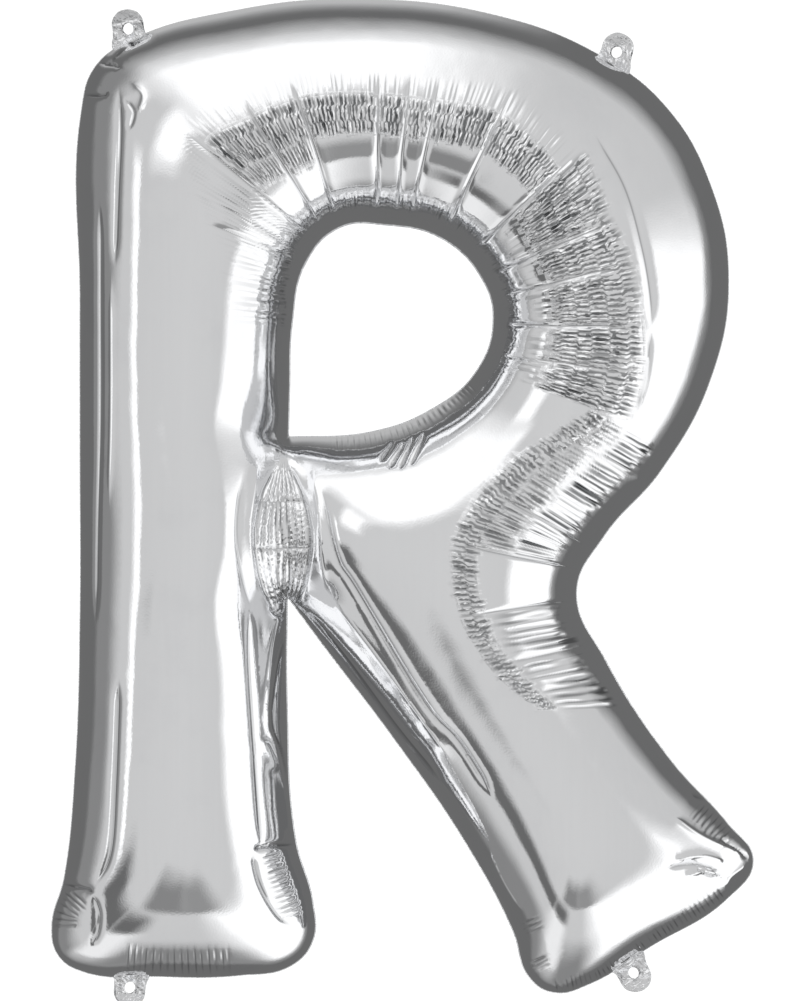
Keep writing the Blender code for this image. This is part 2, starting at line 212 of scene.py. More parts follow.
# Added to a film's seed: for each fan, for each band, for the first band, for the ribs, for the spindle.
FAN_SEED = 10
BAND_SEED = 100
FIRST_BAND_SEED = 7
RIB_SEED = 50
SPINDLE_SEED = 70

# Single folds in the letter's grid: pressed in where the depth is positive, raised where it is negative.
FOLDS = [
    # The inner side of the leg, from the crotch down.
    Fold([(222, 412), (234, 356), (250, 329), (305, 238), (333, 206), (362, 160)], 2.6, 2.5, 25),
    Fold([(226, 330), (262, 284), (300, 232), (330, 190)], -1.8, 4, 25),
    Fold([(208, 318), (246, 270), (286, 216), (322, 172)], 2.2, 3, 25),
    # The inner side of the stem.
    Fold([(185, 314), (179, 280), (176, 224), (181, 203), (188, 166), (192, 128)], -1.8, 1.7, 12),
    Fold([(190, 300), (184, 262), (181, 224), (187, 196), (193, 160)], 1.8, 1.8, 20),
    Fold([(163, 318), (163, 272), (167, 206), (173, 118)], 1.7, 2, 25),
    Fold([(172, 210), (178, 196), (184, 180)], -1.6, 3.5, 8),
    Fold([(160, 430), (154, 386), (156, 353), (164, 312)], 1.8, 3, 30),
    # The lips on both sides of the gathered waist between counter and crotch.
    Fold([(214, 430), (222, 386), (224, 353), (226, 330)], -2.4, 4, 20),
    Fold([(170, 435), (164, 386), (165, 353), (170, 326)], -2.4, 4, 20),
    # The stem's outer side and foot.
    Fold([(58, 260), (55, 174), (51, 117), (38, 87)], 1.8, 2, 25),
    Fold([(12, 89), (31, 86), (37, 83)], 3.0, 2, 5),
    Fold([(37, 82), (42, 66), (40, 50), (34, 40)], 2.0, 2, 8),
    Fold([(166, 119), (180, 122), (197, 121)], 3.0, 2, 6),
    Fold([(166, 116), (172, 90), (185, 66), (196, 56)], 2.2, 2, 8),
    # The corner at the top left.
    Fold([(36, 757), (53, 755), (60, 752)], 3.2, 2, 5),
    Fold([(26, 732), (44, 731), (50, 734)], 3.2, 2, 5),
    Fold([(58, 738), (59, 700), (57, 650), (55, 590)], 1.8, 2, 25),
    Fold([(68, 740), (78, 729), (74, 714)], -1.5, 2.2, 8),
    Fold([(62, 728), (70, 716), (66, 700)], 1.4, 1.8, 8),
    Fold([(50, 756), (66, 770), (88, 780)], 2.0, 2.5, 10),
    Fold([(43, 650), (43, 560), (43, 470), (41, 380), (40, 300)], 2.2, 1.5, 40),
    Fold([(52, 590), (52, 470), (50, 390)], -1.0, 1.6, 40),
    # The leg's foot.
    Fold([(520, 162), (532, 156), (543, 158)], 2.6, 2, 6),
    Fold([(505, 146), (530, 128), (566, 110)], -2.4, 2.2, 10),
    Fold([(566, 107), (552, 97), (548, 88)], -2.2, 2.0, 6),
    Fold([(500, 104), (525, 107), (546, 101)], 3.4, 2.4, 10),
    Fold([(508, 111), (530, 113), (549, 107)], -3.0, 2.4, 8),
    Fold([(516, 98), (534, 101), (548, 95)], -2.8, 2.2, 8),
    Fold([(526, 104), (536, 98), (546, 99)], 3.0, 1.6, 5),
    Fold([(544, 126), (556, 118), (567, 109)], 2.0, 1.6, 5),
    Fold([(359, 119), (372, 92), (386, 69)], -1.2, 1.3, 12),
    # The bowl's outer side, past the pleats.
    Fold([(442, 699), (467, 655), (481, 606), (488, 565), (488, 541)], 1.6, 2.5, 25),
    Fold([(488, 541), (484, 496), (472, 465)], 1.4, 2.5, 20),
    # Slanting puckers under the counter.
    Fold([(270, 432), (281, 449)], 1.8, 1.4, 5),
    Fold([(277, 427), (289, 448)], 2.0, 1.4, 5),
    Fold([(285, 426), (297, 453)], 2.2, 1.4, 6),
    Fold([(294, 429), (306, 456)], 2.0, 1.4, 6),
]
PATH_STEPS = 8  # points of the smooth curve for each point of a path
FOLD_STEP = 2.0  # between the mesh's points along a fold
FOLD_OFFSETS = [0, 0.45, 1.0, 1.8, 3.0]  # in widths of the fold, to each side
FOLD_SPREAD = 6  # a fold reaches this many of its half widths
FOLD_LINE = 0.8  # half width of the painted shade line in a fold
FOLD_SHADE = 0.55
# The rows of small ribs, in millimetres.
RIBS = [
    Ribs([(28, 82), (16, 66), (15, 51)], 4.6, 8, 0.9),
    Ribs([(180, 117), (187, 92), (197, 62)], 4.6, 7, 1.0),
    Ribs([(523, 150), (540, 134), (552, 120)], 4.4, 7, 0.9),
    Ribs([(390, 64), (397, 52)], 4.0, 5, 0.7),
    Ribs([(398, 33), (405, 20)], 4.0, 5, 0.7),
    Ribs([(60, 33), (100, 29), (150, 31)], 5.5, 8, 0.6),
    Ribs([(548, 86), (500, 54), (450, 20), (410, 9)], 4.2, 3.5, 0.35),
    Ribs([(228, 450), (270, 455), (310, 470), (345, 500)], 4.4, 8, 0.55),
]
RIB_STEP = 1.0  # between the mesh's points along their path
RIB_ROWS = 9
RIB_SIZES = (0.6, 1.3)  # the lowest and the highest, over the row's height
RIB_REACHES = (0.75, 1.2)  # and the shortest and the longest, over its reach
RIB_SPREAD = 2  # past this many reaches nothing is left of a rib
RIB_SHADE = 0.6
RIB_DARK = (0.55, 0.9)  # how far down between two ribs the painted shade starts, and is full

# The gathered spindle between the counter's corner and the crotch: its axis, and its half width down the
# axis, in millimetres.
SPINDLE = [(191, 443), (190, 378), (191, 316)]
SPINDLE_HALVES = [
    (0, 1), (0.06, 2), (0.13, 7), (0.26, 14), (0.38, 18),
    (0.51, 21), (0.64, 21), (0.77, 19), (0.9, 15.5), (1, 10),
]
SPINDLE_FULL = 0.88  # its ribs are whole out to this share of its half width
SPINDLE_RIBS = 4  # to each side of the axis
SPINDLE_RIBS_FROM = (2, 12)  # they rise as its half width grows between these
SPINDLE_RIB_HEIGHT = 1.2
SPINDLE_WANDER = 0.25  # how far a rib wanders, in ribs, and over what width and length
SPINDLE_WANDER_CELLS = (2, 14)
SPINDLE_UNEVEN = 0.6  # how much its height changes, and over what width and length
SPINDLE_UNEVEN_CELLS = (1, 7)
SPINDLE_BEAD = 4.4
SPINDLE_BEAD_HEIGHT = 0.5
SPINDLE_EDGE_DEPTH = 3.6
SPINDLE_EDGE_WIDTH = 1.6
SPINDLE_EDGE_FROM = (2, 10)
# The _SHADE and _DARK values below set the painted shade along its edge, in its creases and between its ribs.
SPINDLE_EDGE_SHADE = 0.8
SPINDLE_EDGE_DARK = (0.5, 0.9)
SPINDLE_CREASES = [401, 363]  # how high up they cross it
SPINDLE_CREASE_DEPTH = 2.0
SPINDLE_CREASE_WIDTH = 1.3
SPINDLE_CREASE_SHADE = 0.4
SPINDLE_SHADE = 0.9
SPINDLE_DARK = (0.62, 0.92)
SPINDLE_SPARKLE = 0.3
SPINDLE_STEP = 1.2
SPINDLE_COLUMNS = 41
SPINDLE_REACH = 1.3  # its fine points reach this many half widths

# The welded borders: a point every step, and how far they reach under the films.
BORDER_STEP = 1.2 * MM
BORDER_TUCK = 0.4 * MM
BORDER_SEED = 1.5
RUFFLE_WAVE = 0.4  # how even its ruffles are
RUFFLE_NOISE = 3.0  # and how uneven
TICK_PITCH = 1.3 * MM  # the sealing bar's cross marks

# The tabs, in millimetres: where each one's root is, and its heading in degrees clockwise from +Z.
TABS = {
    "tab_top_left": (65.3, 776.6, -8),
    "tab_top_right": (459.2, 757.8, 18),
    "tab_bottom_left": (66.1, 14.5, 185),
    "tab_bottom_right": (471.5, 25.3, 153),
}
# A tab's half width, from its root up, and from where up it is a half round.
TAB_HALVES = [(-5, 15.5), (1, 15.0), (5, 13.2), (10, 12.4), (14, 12.2)]
TAB_DOME = 13
TAB_LENGTH = 26
TAB_ROOT = 4.5  # how far a root reaches inside the cut edge
TAB_HOLE_RADIUS = 4.8
TAB_HOLE_OFFSET = 10  # from the cut edge
TAB_TWIST = 2.5  # degrees that a layer is turned either way, up to half as much again
TAB_TWIST_SPREAD = (1, 1.5)
TAB_TIP = 2  # the last stretch of its sides has points set closer
TAB_SIDE_STEPS = 120
TAB_END_STEPS = 40
TAB_EDGE_WANDER = 0.012  # how uneven its cut edge is, as a share of the way from the hole
TAB_EDGE_TURNS = 24
TAB_LOOSE = 4  # from here up its layers are loose
# Over the hole a layer flattens, folds away and slopes off: by how much, and between which levels.
TAB_FLAT = 0.85
TAB_FLAT_LEVELS = (TAB_HOLE_OFFSET + 3, TAB_HOLE_OFFSET + 7)
TAB_BEND = 0.9
TAB_BEND_LEVELS = (TAB_HOLE_OFFSET + 4, TAB_HOLE_OFFSET + 6.5)
TAB_BEND_SLANT = 0.25
TAB_SLOPE = 0.12
TAB_SLOPE_FROM = 6
TAB_GAP = 0.25  # from the seam plane to a layer, at the root
TAB_SPREAD_FROM = 2
CRUMPLE_LARGE = (8, 6)  # width and height of the facets between its creases
CRUMPLE_SMALL = (4, 3.2)
CRUMPLE_SMALL_SHARE = 0.55
CRUMPLE_SLANT = 0.4
TAB_COLUMNS = 144
TAB_ROWS = 22
TAB_SEED = 30

# The filling neck, in millimetres.
NECK_X = 258
NECK_Z = 811
NECK_WIDTH = 44
NECK_TUCK = 1.5  # how far its root reaches inside the cut edge
NECK_WALL = 0.2
NECK_SHARPNESS = 0.7  # of its two side edges: 1 is round
NECK_FLATNESS = 4  # of its middle
# Half its depth at the root, how much more it is at the next level, and where its mouth starts to gape.
NECK_OPEN = 0.10
NECK_SWELL = 0.7
NECK_SWELL_LEVEL = 14
NECK_MOUTH_LEVEL = 26
NECK_SLIMMEST = 0.02
NECK_WAVES = (7, 22)  # width and length of its wrinkles, large and small
NECK_RIPPLES = (3, 12)
NECK_SWAY_LEVELS = (2, 16)  # they grow between these levels
NECK_CUT_LEVELS = (30, 45)  # and its mouth's uneven cut
NECK_CUT_WAVE = (0.5, 3, 1)  # height, waves and start
NECK_ROWS = 60
NECK_COLUMNS = 160
NECK_SEED = 61

# The short dashes of the gathered film, painted shade standing in for the dark reflections in its fine
# pleats: their length, how much rarer they are on a pleat's crest than in its valley, how many stand side
# by side in a pleat, the noise that they start and are full at, and how dark they are. Then the length and
# height of the facets between them.
DASH_LENGTH = 7.0 * MM
DASH_VALLEY = 0.25
DASHES_ACROSS = 1.5
DASH_FROM = 0.36
DASH_TO = 0.43
DASH_SHADE = 0.95
FACET_LENGTH = 5.0 * MM
FACET_START = 7.3  # elsewhere in the noise than the dashes
FACET_HEIGHT = 0.9 * MM
# Painted shade: this colour is laid over tight folds, crease lines, rib valleys and the dark dashes.
PAINTED_SHADE_COLOUR = (0.13, 0.135, 0.14)  # what little light comes back out of a tight fold
CREASE_RIDGE = 0.12  # half width of the creases in thin foil, as a share of their size
STREAK_SCALE = (220, 220, 6)  # streaks along the film's roll
STREAK_SHARE = 0.45  # of the streaks in how dull the film is: the rest is the handled patches'
PATCH_SCALE = 14.0  # of the handled patches
PATCH_RANGE = (0.50, 0.72)  # the noise where they start and are full

# The finish of each kind of foil: how much rougher it is than the film, how much more so where it is handled
# and how bright it is there, the size and height in metres of each kind of relief, the height of the sealing
# bar's marks, and whether it shows the gathered film's painted dashes and facets.
Finish = namedtuple("Finish", "gloss handled dull relief ticks gathered")
FINISHES = {
    "film_silver": Finish(
        0.0, 0.03, 1.0, {"Dent": (0.035, 0.0004), "Grain": (0.0016, 0.000025)}, 0.0, True),
    "weld_silver": Finish(
        0.08, 0.12, 1.0, {"Dent": (0.006, 0.0004), "Grain": (0.0008, 0.00003)}, 0.00016, False),
    # The tabs' handled patches and streaks are made far darker than the film's: partly painted shade,
    # darkening the crumpled tabs.
    "tab_silver": Finish(
        0.02, 0.10, 0.45, {"Dent": (0.004, 0.0007), "Crease": (0.004, 0.00012)}, 0.0, False),
    "neck_silver": Finish(
        0.08, 0.15, 1.0, {"Dent": (0.010, 0.0006), "Crease": (0.009, 0.00008)}, 0.0, False),
}

# The camera stands square on to the photograph's middle.
VIEW_CENTRE = (0.0224, -0.3748)
FLOOR_CORNERS = 96
FLOOR_COLOUR = (0.8, 0.8, 0.8, 1)

# The studio, as the foil mirrors it: a plain sweep from the camera round to behind the balloon, as angles from
# the camera in degrees and how bright it is there.
SWEEP = [(0, 0.65), (90, 0.6), (110, 0.15), (180, 0.15)]
# Soft boxes and dark cards hung in it: from which to which way round the camera's axis, in degrees
# clockwise from straight up, and over how many degrees that is soft, from which to which angle from the
# camera and over how many degrees each is soft, and how bright. What spans straight up has two rows.
CARDS = [
    ((-40, 15, 20), (30, 85, 14, 20), 1.0),
    ((320, 400, 20), (25, 85, 10, 20), 1.0),
    ((-40, 15, 20), (130, 200, 30, 2), 0.5),
    ((325, 400, 20), (130, 200, 30, 2), 0.5),
    ((75, 165, 20), (45, 100, 10, 8), 1.0),
    ((165, 200, 20), (80, 105, 20, 10), 0.25),
    ((200, 225, 15), (65, 90, 5, 5), 0.9),
    ((260, 285, 10), (57, 65, 2, 6), 1.0),
    ((285, 320, 15), (30, 50, 8, 8), 1.0),
    ((230, 320, 15), (85, 110, 20, 10), 0.25),
    ((150, 185, 25), (25, 45, 14, 4), 0.3),
    ((180, 215, 15), (25, 45, 14, 6), 0.25),
    ((200, 225, 15), (50, 63, 12, 6), 0.15),
    ((225, 250, 5), (50, 65, 10, 5), 0.15),
    ((245, 260, 10), (45, 65, 12, 6), 0.15),
]
# Where it is brighter than the first of these, the second times the difference is added.
WHITE_FROM = 0.9
WHITE_LIFT = 1.2


def letter(points_mm):
    """Points of the letter's grid, in millimetres, as metres from the origin."""
    return np.array(points_mm, float) * MM - ORIGIN


def smooth_loop(anchors_mm):
    """A closed curve through the anchors, round everywhere but at the first, as close-set points."""
    guide = bpy.data.curves.new("outline_guide", "CURVE")
    spline = guide.splines.new("BEZIER")
    spline.bezier_points.add(len(anchors_mm) - 1)
    spline.use_cyclic_u = True
    for index, (x, z) in enumerate(letter(anchors_mm)):
        point = spline.bezier_points[index]
        point.co = (x, z, 0)
        point.handle_left_type = point.handle_right_type = "AUTO" if index else "VECTOR"
    guide_object = bpy.data.objects.new("outline_guide", guide)
    bpy.context.scene.collection.objects.link(guide_object)
    bpy.context.view_layer.update()
    points = []
    knots = list(spline.bezier_points)
    for start, end in zip(knots, knots[1:] + knots[:1]):
        handles = (start.co, start.handle_right, end.handle_left, end.co)
        stretch = interpolate_bezier(*handles, CURVE_STEPS + 1)
        points += [(point.x, point.y) for point in stretch[:-1]]
    bpy.data.objects.remove(guide_object)
    bpy.data.curves.remove(guide)
    return np.array(points)


def lengths(vectors):
    """How long each vector is."""
    return np.linalg.norm(vectors, axis=1)


def unit(vectors):
    """Each vector at length 1."""
    return vectors / lengths(vectors)[:, None]


def run_of(points):
    """How far along their line each of the points is."""
    return np.concatenate([[0], np.cumsum(lengths(np.diff(points, axis=0)))])


def even_steps(loop, step):
    """The closed loop again, from its first point on, at even steps."""
    closed = np.vstack([loop, loop[:1]])
    run = run_of(closed)
    at = np.linspace(0, run[-1], round(run[-1] / step), endpoint=False)
    return np.column_stack([np.interp(at, run, closed[:, axis]) for axis in (0, 1)])


def to_right(loop):
    """The unit vector to the right of the way a closed loop runs, at each of its points."""
    way = unit(np.roll(loop, -1, axis=0) - np.roll(loop, 1, axis=0))
    return np.column_stack([way[:, 1], -way[:, 0]])


def through(points, at):
    """The smooth open curve through the points, where `at` counts them."""
    padded = np.vstack([2 * points[0] - points[1], points, 2 * points[-1] - points[-2]])
    index = np.clip(at.astype(int), 0, len(points) - 2)
    share = (at - index)[:, None]
    a, b, c, d = (padded[index + k] for k in range(4))
    return b + share / 2 * (
        c - a + share * (2 * a - 5 * b + 4 * c - d + share * (3 * (b - c) + d - a))
    )


def along(loop, at):
    """Values of a closed loop at places that count its points."""
    low = np.floor(at).astype(int)
    share = (at - low)[:, None]
    return loop[low % len(loop)] * (1 - share) + loop[(low + 1) % len(loop)] * share


def hexagons(low, high, step):
    """A close-packed grid of points in a box."""
    rows = np.arange(low[1], high[1], step * math.sqrt(0.75))
    columns = np.arange(low[0], high[0], step)
    return np.array([(x + step / 2 * (row % 2), z) for row, z in enumerate(rows) for x in columns])


def nearest_tree(points):
    """A tree of plan points, for nearest()."""
    tree = KDTree(len(points))
    for index, (x, z) in enumerate(points):
        tree.insert((x, z, 0), index)
    tree.balance()
    return tree


def nearest(tree, points):
    """For each point, the index of the tree's nearest point and its distance."""
    found = [tree.find((x, z, 0)) for x, z in points]
    return np.array([hit[1] for hit in found]), np.array([hit[2] for hit in found])


def thinned(points, size):
    """The points, one in each square cell."""
    cells = np.floor(points / size).astype(int)
    cells -= cells.min(axis=0)
    _, first = np.unique(cells[:, 0] * (cells[:, 1].max() + 1) + cells[:, 1], return_index=True)
    return points[np.sort(first)]


def inside(loops, points):
    """Whether each point lies in the first loop and in none of the others."""
    crossings = np.zeros(len(points), int)
    for loop in loops:
        for (x1, z1), (x2, z2) in zip(loop, np.roll(loop, -1, axis=0)):
            spans = (z1 > points[:, 1]) != (z2 > points[:, 1])
            if not spans.any():
                continue
            crossing_x = x1 + (points[:, 1] - z1) * (x2 - x1) / (z2 - z1)
            crossings += spans & (points[:, 0] < crossing_x)
    return crossings % 2 == 1


def ramp(x, low, high):
    """0 below low, 1 above high, and smooth between, whichever way round they are."""
    share = np.clip((x - low) / (high - low), 0, 1)
    return share * share * (3 - 2 * share)


def smooth_noise(seed, coordinates, cells):
    """Even noise from -1 to 1 over an N by 2 array, smooth over one cell."""
    grid = np.asarray(coordinates) / np.asarray(cells)
    low = np.floor(grid.min(axis=0)).astype(int)
    size = np.ceil(grid.max(axis=0)).astype(int) - low + 2
    lattice = np.random.default_rng(seed).uniform(-1, 1, size)
    corner = np.floor(grid).astype(int) - low
    share = grid - low - corner
    share = share * share * (3 - 2 * share)
    i, j = corner.T
    a, b = share.T
    return (
        lattice[i, j] * (1 - a) * (1 - b) + lattice[i + 1, j] * a * (1 - b)
        + lattice[i, j + 1] * (1 - a) * b + lattice[i + 1, j + 1] * a * b
    )


def beside_edge(anchors_mm, distance):
    """The cut edge through the anchors, moved to the right of the way it runs."""
    edge = even_steps(smooth_loop(anchors_mm), LOOP_STEP)
    return even_steps(edge + distance * to_right(edge), LOOP_STEP)


class Seams:
    """The two seam lines as close-set loops, with their sides and a tree for distances."""

    def __init__(self):
        self.loops = []
        self.inward = []
        for anchors, side in ((OUTLINE, 1), (COUNTER, -1)):
            loop = beside_edge(anchors, side * SEAM_WIDTH)
            self.loops.append(loop)
            self.inward.append(side * to_right(loop))
        self.tree = nearest_tree(np.vstack(self.loops))


class Fan:
    """A pleated part of the film: lines from roots on a seam to crowns, with a grid of points on them."""

    def __init__(self, loop, spokes, rows, line_step, growth, coarse_share):
        crowns = letter([crown for crown, root in spokes])
        roots = letter([root for crown, root in spokes])
        at = np.linspace(0, len(spokes) - 1, CROWN_STEPS)
        run = run_of(through(crowns, at))
        lines = 2 * round(run[-1] / line_step / 2) + 1
        self.u = np.linspace(0, run[-1], lines)
        at = np.interp(self.u, run, at)
        self.spoke_u = np.interp(np.arange(len(spokes)), at, self.u)
        self.crowns = through(crowns, at)
        index, _ = nearest(nearest_tree(loop), through(roots, at))
        self.root_at = np.interp(np.arange(lines), *self.run_on(index, len(loop)))
        self.roots = along(loop, self.root_at)
        self.root_spread = lengths(np.diff(self.roots, axis=0)).sum() / run[-1]
        self.v = np.unique(np.concatenate([np.linspace(low, high, count + 1) for low, high, count in rows]))
        self.growth = growth
        self.coarse_share = coarse_share

    @staticmethod
    def run_on(index, count):
        """Root places that only run on, evened out over a few lines each."""
        turn = (np.diff(index) + count // 2) % count - count // 2
        run = index[0] + np.concatenate([[0], np.cumsum(turn)])
        keep = np.unique(np.append(np.arange(0, len(run), ROOT_EVENING), len(run) - 1))
        return keep, run[keep]

    def points(self):
        """Plan positions and their (u, v), without the row on the seam itself."""
        places = []
        where = []
        for v in self.v[1:]:
            step = 2 if v < self.coarse_share else 1
            root = self.roots[::step]
            crown = self.crowns[::step]
            places.append(root + (crown - root) * v ** self.growth)
            where.append(np.column_stack([self.u[::step], np.full(len(root), v)]))
        return np.vstack(places), np.vstack(where)

    def border(self):
        """The patch's outline, from the first root along the crowns and back along the last spoke."""
        return np.vstack([self.roots[:1], self.crowns, self.roots[::-1]])


class FilmPlan:
    """One film laid out on the seam plane: its points, triangles, inflated heights and fan places."""

    def __init__(self, roundness):
        self.seams = Seams()
        outer, counter = self.seams.loops
        self.fans = [Fan(loop, *fan) for loop, fan in zip((counter, outer), FANS)]
        rims = self.rims()
        pinned = sum(len(rim) for rim in rims)
        fan_places = [fan.points() for fan in self.fans]
        self.fan_places = [places for places, where in fan_places]
        points = np.vstack([*rims, *self.fan_places])
        self.where = [np.full((pinned, 3), -1.0)]
        for index, (places, where) in enumerate(fan_places):
            self.where.append(np.column_stack([np.full(len(places), index), where]))
        rest = self.free_points(points)
        points = np.vstack([points, rest])
        self.where = np.vstack([*self.where, np.full((len(rest), 3), -1.0)])
        self.points, self.triangles = self.joined(points, [len(rim) for rim in rims])
        self.pinned = pinned
        index, self.inset = nearest(self.seams.tree, self.points)
        self.outward = -np.vstack(self.seams.inward)[index]
        self.inset[:pinned] = 0
        self.heights = roundness * inflated_heights(self.points, self.triangles, pinned)
        _, off, _ = path_places(self.points, letter(WAIST_LINE))
        self.heights *= 1 - WAIST_SHARE * np.exp(-(off / WAIST_REACH) ** 2)
        off = lengths(self.points - letter([FULL_PLACE]))
        self.heights *= 1 + FULL_SHARE * np.exp(-0.5 * (off / FULL_REACH) ** 2)

    def rims(self):
        """The seam loops' points: a fan's roots where one stands on them, and even steps elsewhere."""
        rims = []
        self.stations = []
        for loop, fan in zip(self.seams.loops, self.fans[::-1]):
            count = len(loop)
            roots = np.unique(fan.root_at[::2])
            low, high = roots[0], roots[-1]
            even = np.linspace(high, low + count, round((low + count - high) / RIM_STEPS))[1:-1]
            stations = np.concatenate([roots, even])
            rims.append(along(loop, stations))
            self.stations.append(even)
        return rims

    def free_points(self, taken):
        """Points along the folds, rings beside the seams and a wide grid within, clear of the fans."""
        coarse = [loop[::LOOP_SKIP] for loop in self.seams.loops]
        fine = letter(fine_places())
        fine = fine[inside(coarse, fine)]
        _, gap = nearest(self.seams.tree, fine)
        fine = self.off_fans(thinned(fine[gap > CLOSEST], CLOSEST_FINE), taken)
        wide = []
        lip = []
        for loop, inward, stations in zip(self.seams.loops, self.seams.inward, self.stations):
            lip.append(along(loop, stations) + LIP_INSET * along(inward, stations))
            for ring in range(1, RINGS + 1):
                inset = RING_REACH * (ring / RINGS) ** RING_GROWTH
                use = stations[:: 1 + ring % 2] if ring > RINGS / 2 else stations
                places = along(loop, use) + inset * along(inward, use)
                _, gap = nearest(self.seams.tree, places)
                wide.append(places[gap > RING_CLEAR * inset - RING_SLACK])
        for (low, high), step in GRIDS:
            low, high = letter([low, high])
            grid = hexagons(low, high, step)
            grid = grid[inside(coarse, grid)]
            _, gap = nearest(self.seams.tree, grid)
            wide.append(grid[gap > RING_REACH + step / 3])
        wide = self.off_fans(np.vstack(wide), np.vstack([taken, fine]))
        lip = np.vstack(lip)
        _, gap = nearest(self.seams.tree, lip)
        lip = self.off_fans(lip[gap > LIP_CLEAR * LIP_INSET], np.vstack(self.fan_places))
        return np.vstack([fine, thinned(wide, CLOSEST), lip])

    def off_fans(self, points, taken):
        """The points that lie in no fan and not too close to one that is taken."""
        for fan in self.fans:
            points = points[~inside([fan.border()[::FAN_SKIP]], points)]
        _, gap = nearest(nearest_tree(taken), points)
        return points[gap > CLOSEST]

    def joined(self, points, counts):
        """Triangles between the seams, wound so that they face -Y."""
        edges = []
        start = 0
        for count in counts:
            edges += [(start + i, start + (i + 1) % count) for i in range(count)]
            start += count
        made = delaunay_2d_cdt([Vector(point) for point in points], edges, [], 1, SAME_POINT)
        corners = np.array([vertex[:] for vertex in made[0]])
        triangles = np.array(made[2])
        on_rim = np.flatnonzero((triangles < start).all(axis=1))
        stray = ~inside(self.seams.loops, corners[triangles[on_rim]].mean(axis=1))
        triangles = np.delete(triangles, on_rim[stray], axis=0)
        a, b, c = (corners[triangles[:, i]] for i in range(3))
        turned = (b - a)[:, 0] * (c - a)[:, 1] < (b - a)[:, 1] * (c - a)[:, 0]
        triangles[turned] = triangles[turned][:, ::-1]
        return corners, triangles


def inflated_heights(points, triangles, pinned):
    """How far the filled film stands off the seam plane: the root of a loaded membrane's sag.

    The sag is found by conjugate gradients. A long straight stretch comes out with a round section.
    """
    count = len(points)
    pairs = []
    weights = []
    load = np.zeros(count)
    for corner in range(3):
        here, left, right = (triangles[:, (corner + k) % 3] for k in range(3))
        u = points[left] - points[here]
        v = points[right] - points[here]
        twice_area = np.abs(u[:, 0] * v[:, 1] - u[:, 1] * v[:, 0])
        weights.append((u * v).sum(axis=1) / twice_area / 2)
        pairs.append(np.minimum(left, right) * count + np.maximum(left, right))
        load += np.bincount(here, twice_area / 3, count)
    edges, which = np.unique(np.concatenate(pairs), return_inverse=True)
    weight = np.bincount(which, np.concatenate(weights))
    start, end = edges // count, edges % count
    own = np.bincount(start, weight, count) + np.bincount(end, weight, count)

    def pull(sag):
        flow = weight * (sag[start] - sag[end])
        total = np.bincount(start, flow, count) - np.bincount(end, flow, count)
        total[:pinned] = 0
        return total

    load[:pinned] = 0
    sag = np.zeros(count)
    left_over = load.copy()
    guess = left_over / own
    step = guess.copy()
    size = left_over @ guess
    for _ in range(SOLVER_STEPS):
        pulled = pull(step)
        share = size / (step @ pulled)
        sag += share * step
        left_over -= share * pulled
        guess = left_over / own
        new_size = left_over @ guess
        if new_size < SOLVER_END * (load @ load / own.mean()):
            break
        step = guess + new_size / size * step
        size = new_size
    return np.sqrt(np.maximum(sag, 0))


def vertex_normals(places, triangles):
    """Unit normals that each vertex takes from the triangles round it."""
    a, b, c = (places[triangles[:, i]] for i in range(3))
    across = np.cross(b - a, c - a)
    normals = np.column_stack([
        sum(np.bincount(triangles[:, i], across[:, axis], len(places)) for i in range(3)) for axis in range(3)
    ])
    return unit(normals)


def valley(phase):
    """A sharp valley at every whole number and a round crest between, from 1 down to 0."""
    return 1 - np.abs(np.sin(np.pi * phase))


def leaning_valley(phase, crest):
    """A sharp valley at every whole number and a sharp crest at the share `crest` of the way between."""
    share = phase % 1
    return np.where(share < crest, 1 - share / crest, (share - crest) / (1 - crest))


def pleat_valleys(rng, length, pitch):
    """Places of the valleys of hand-gathered pleats: near the pitch, and never quite at it."""
    count = int(length / pitch * VALLEYS_OVER) + SPARE_PLEATS
    steps = pitch * np.clip(rng.normal(1, PLEAT_SCATTER, count), *PLEAT_STEPS)
    return np.cumsum(steps) - 2 * pitch


def per_pleat(rng, low, high, valleys, index):
    """An even random number for each pleat, given out to the points by their pleat's index."""
    return rng.uniform(low, high, len(valleys) + SPARE_PLEATS)[index]


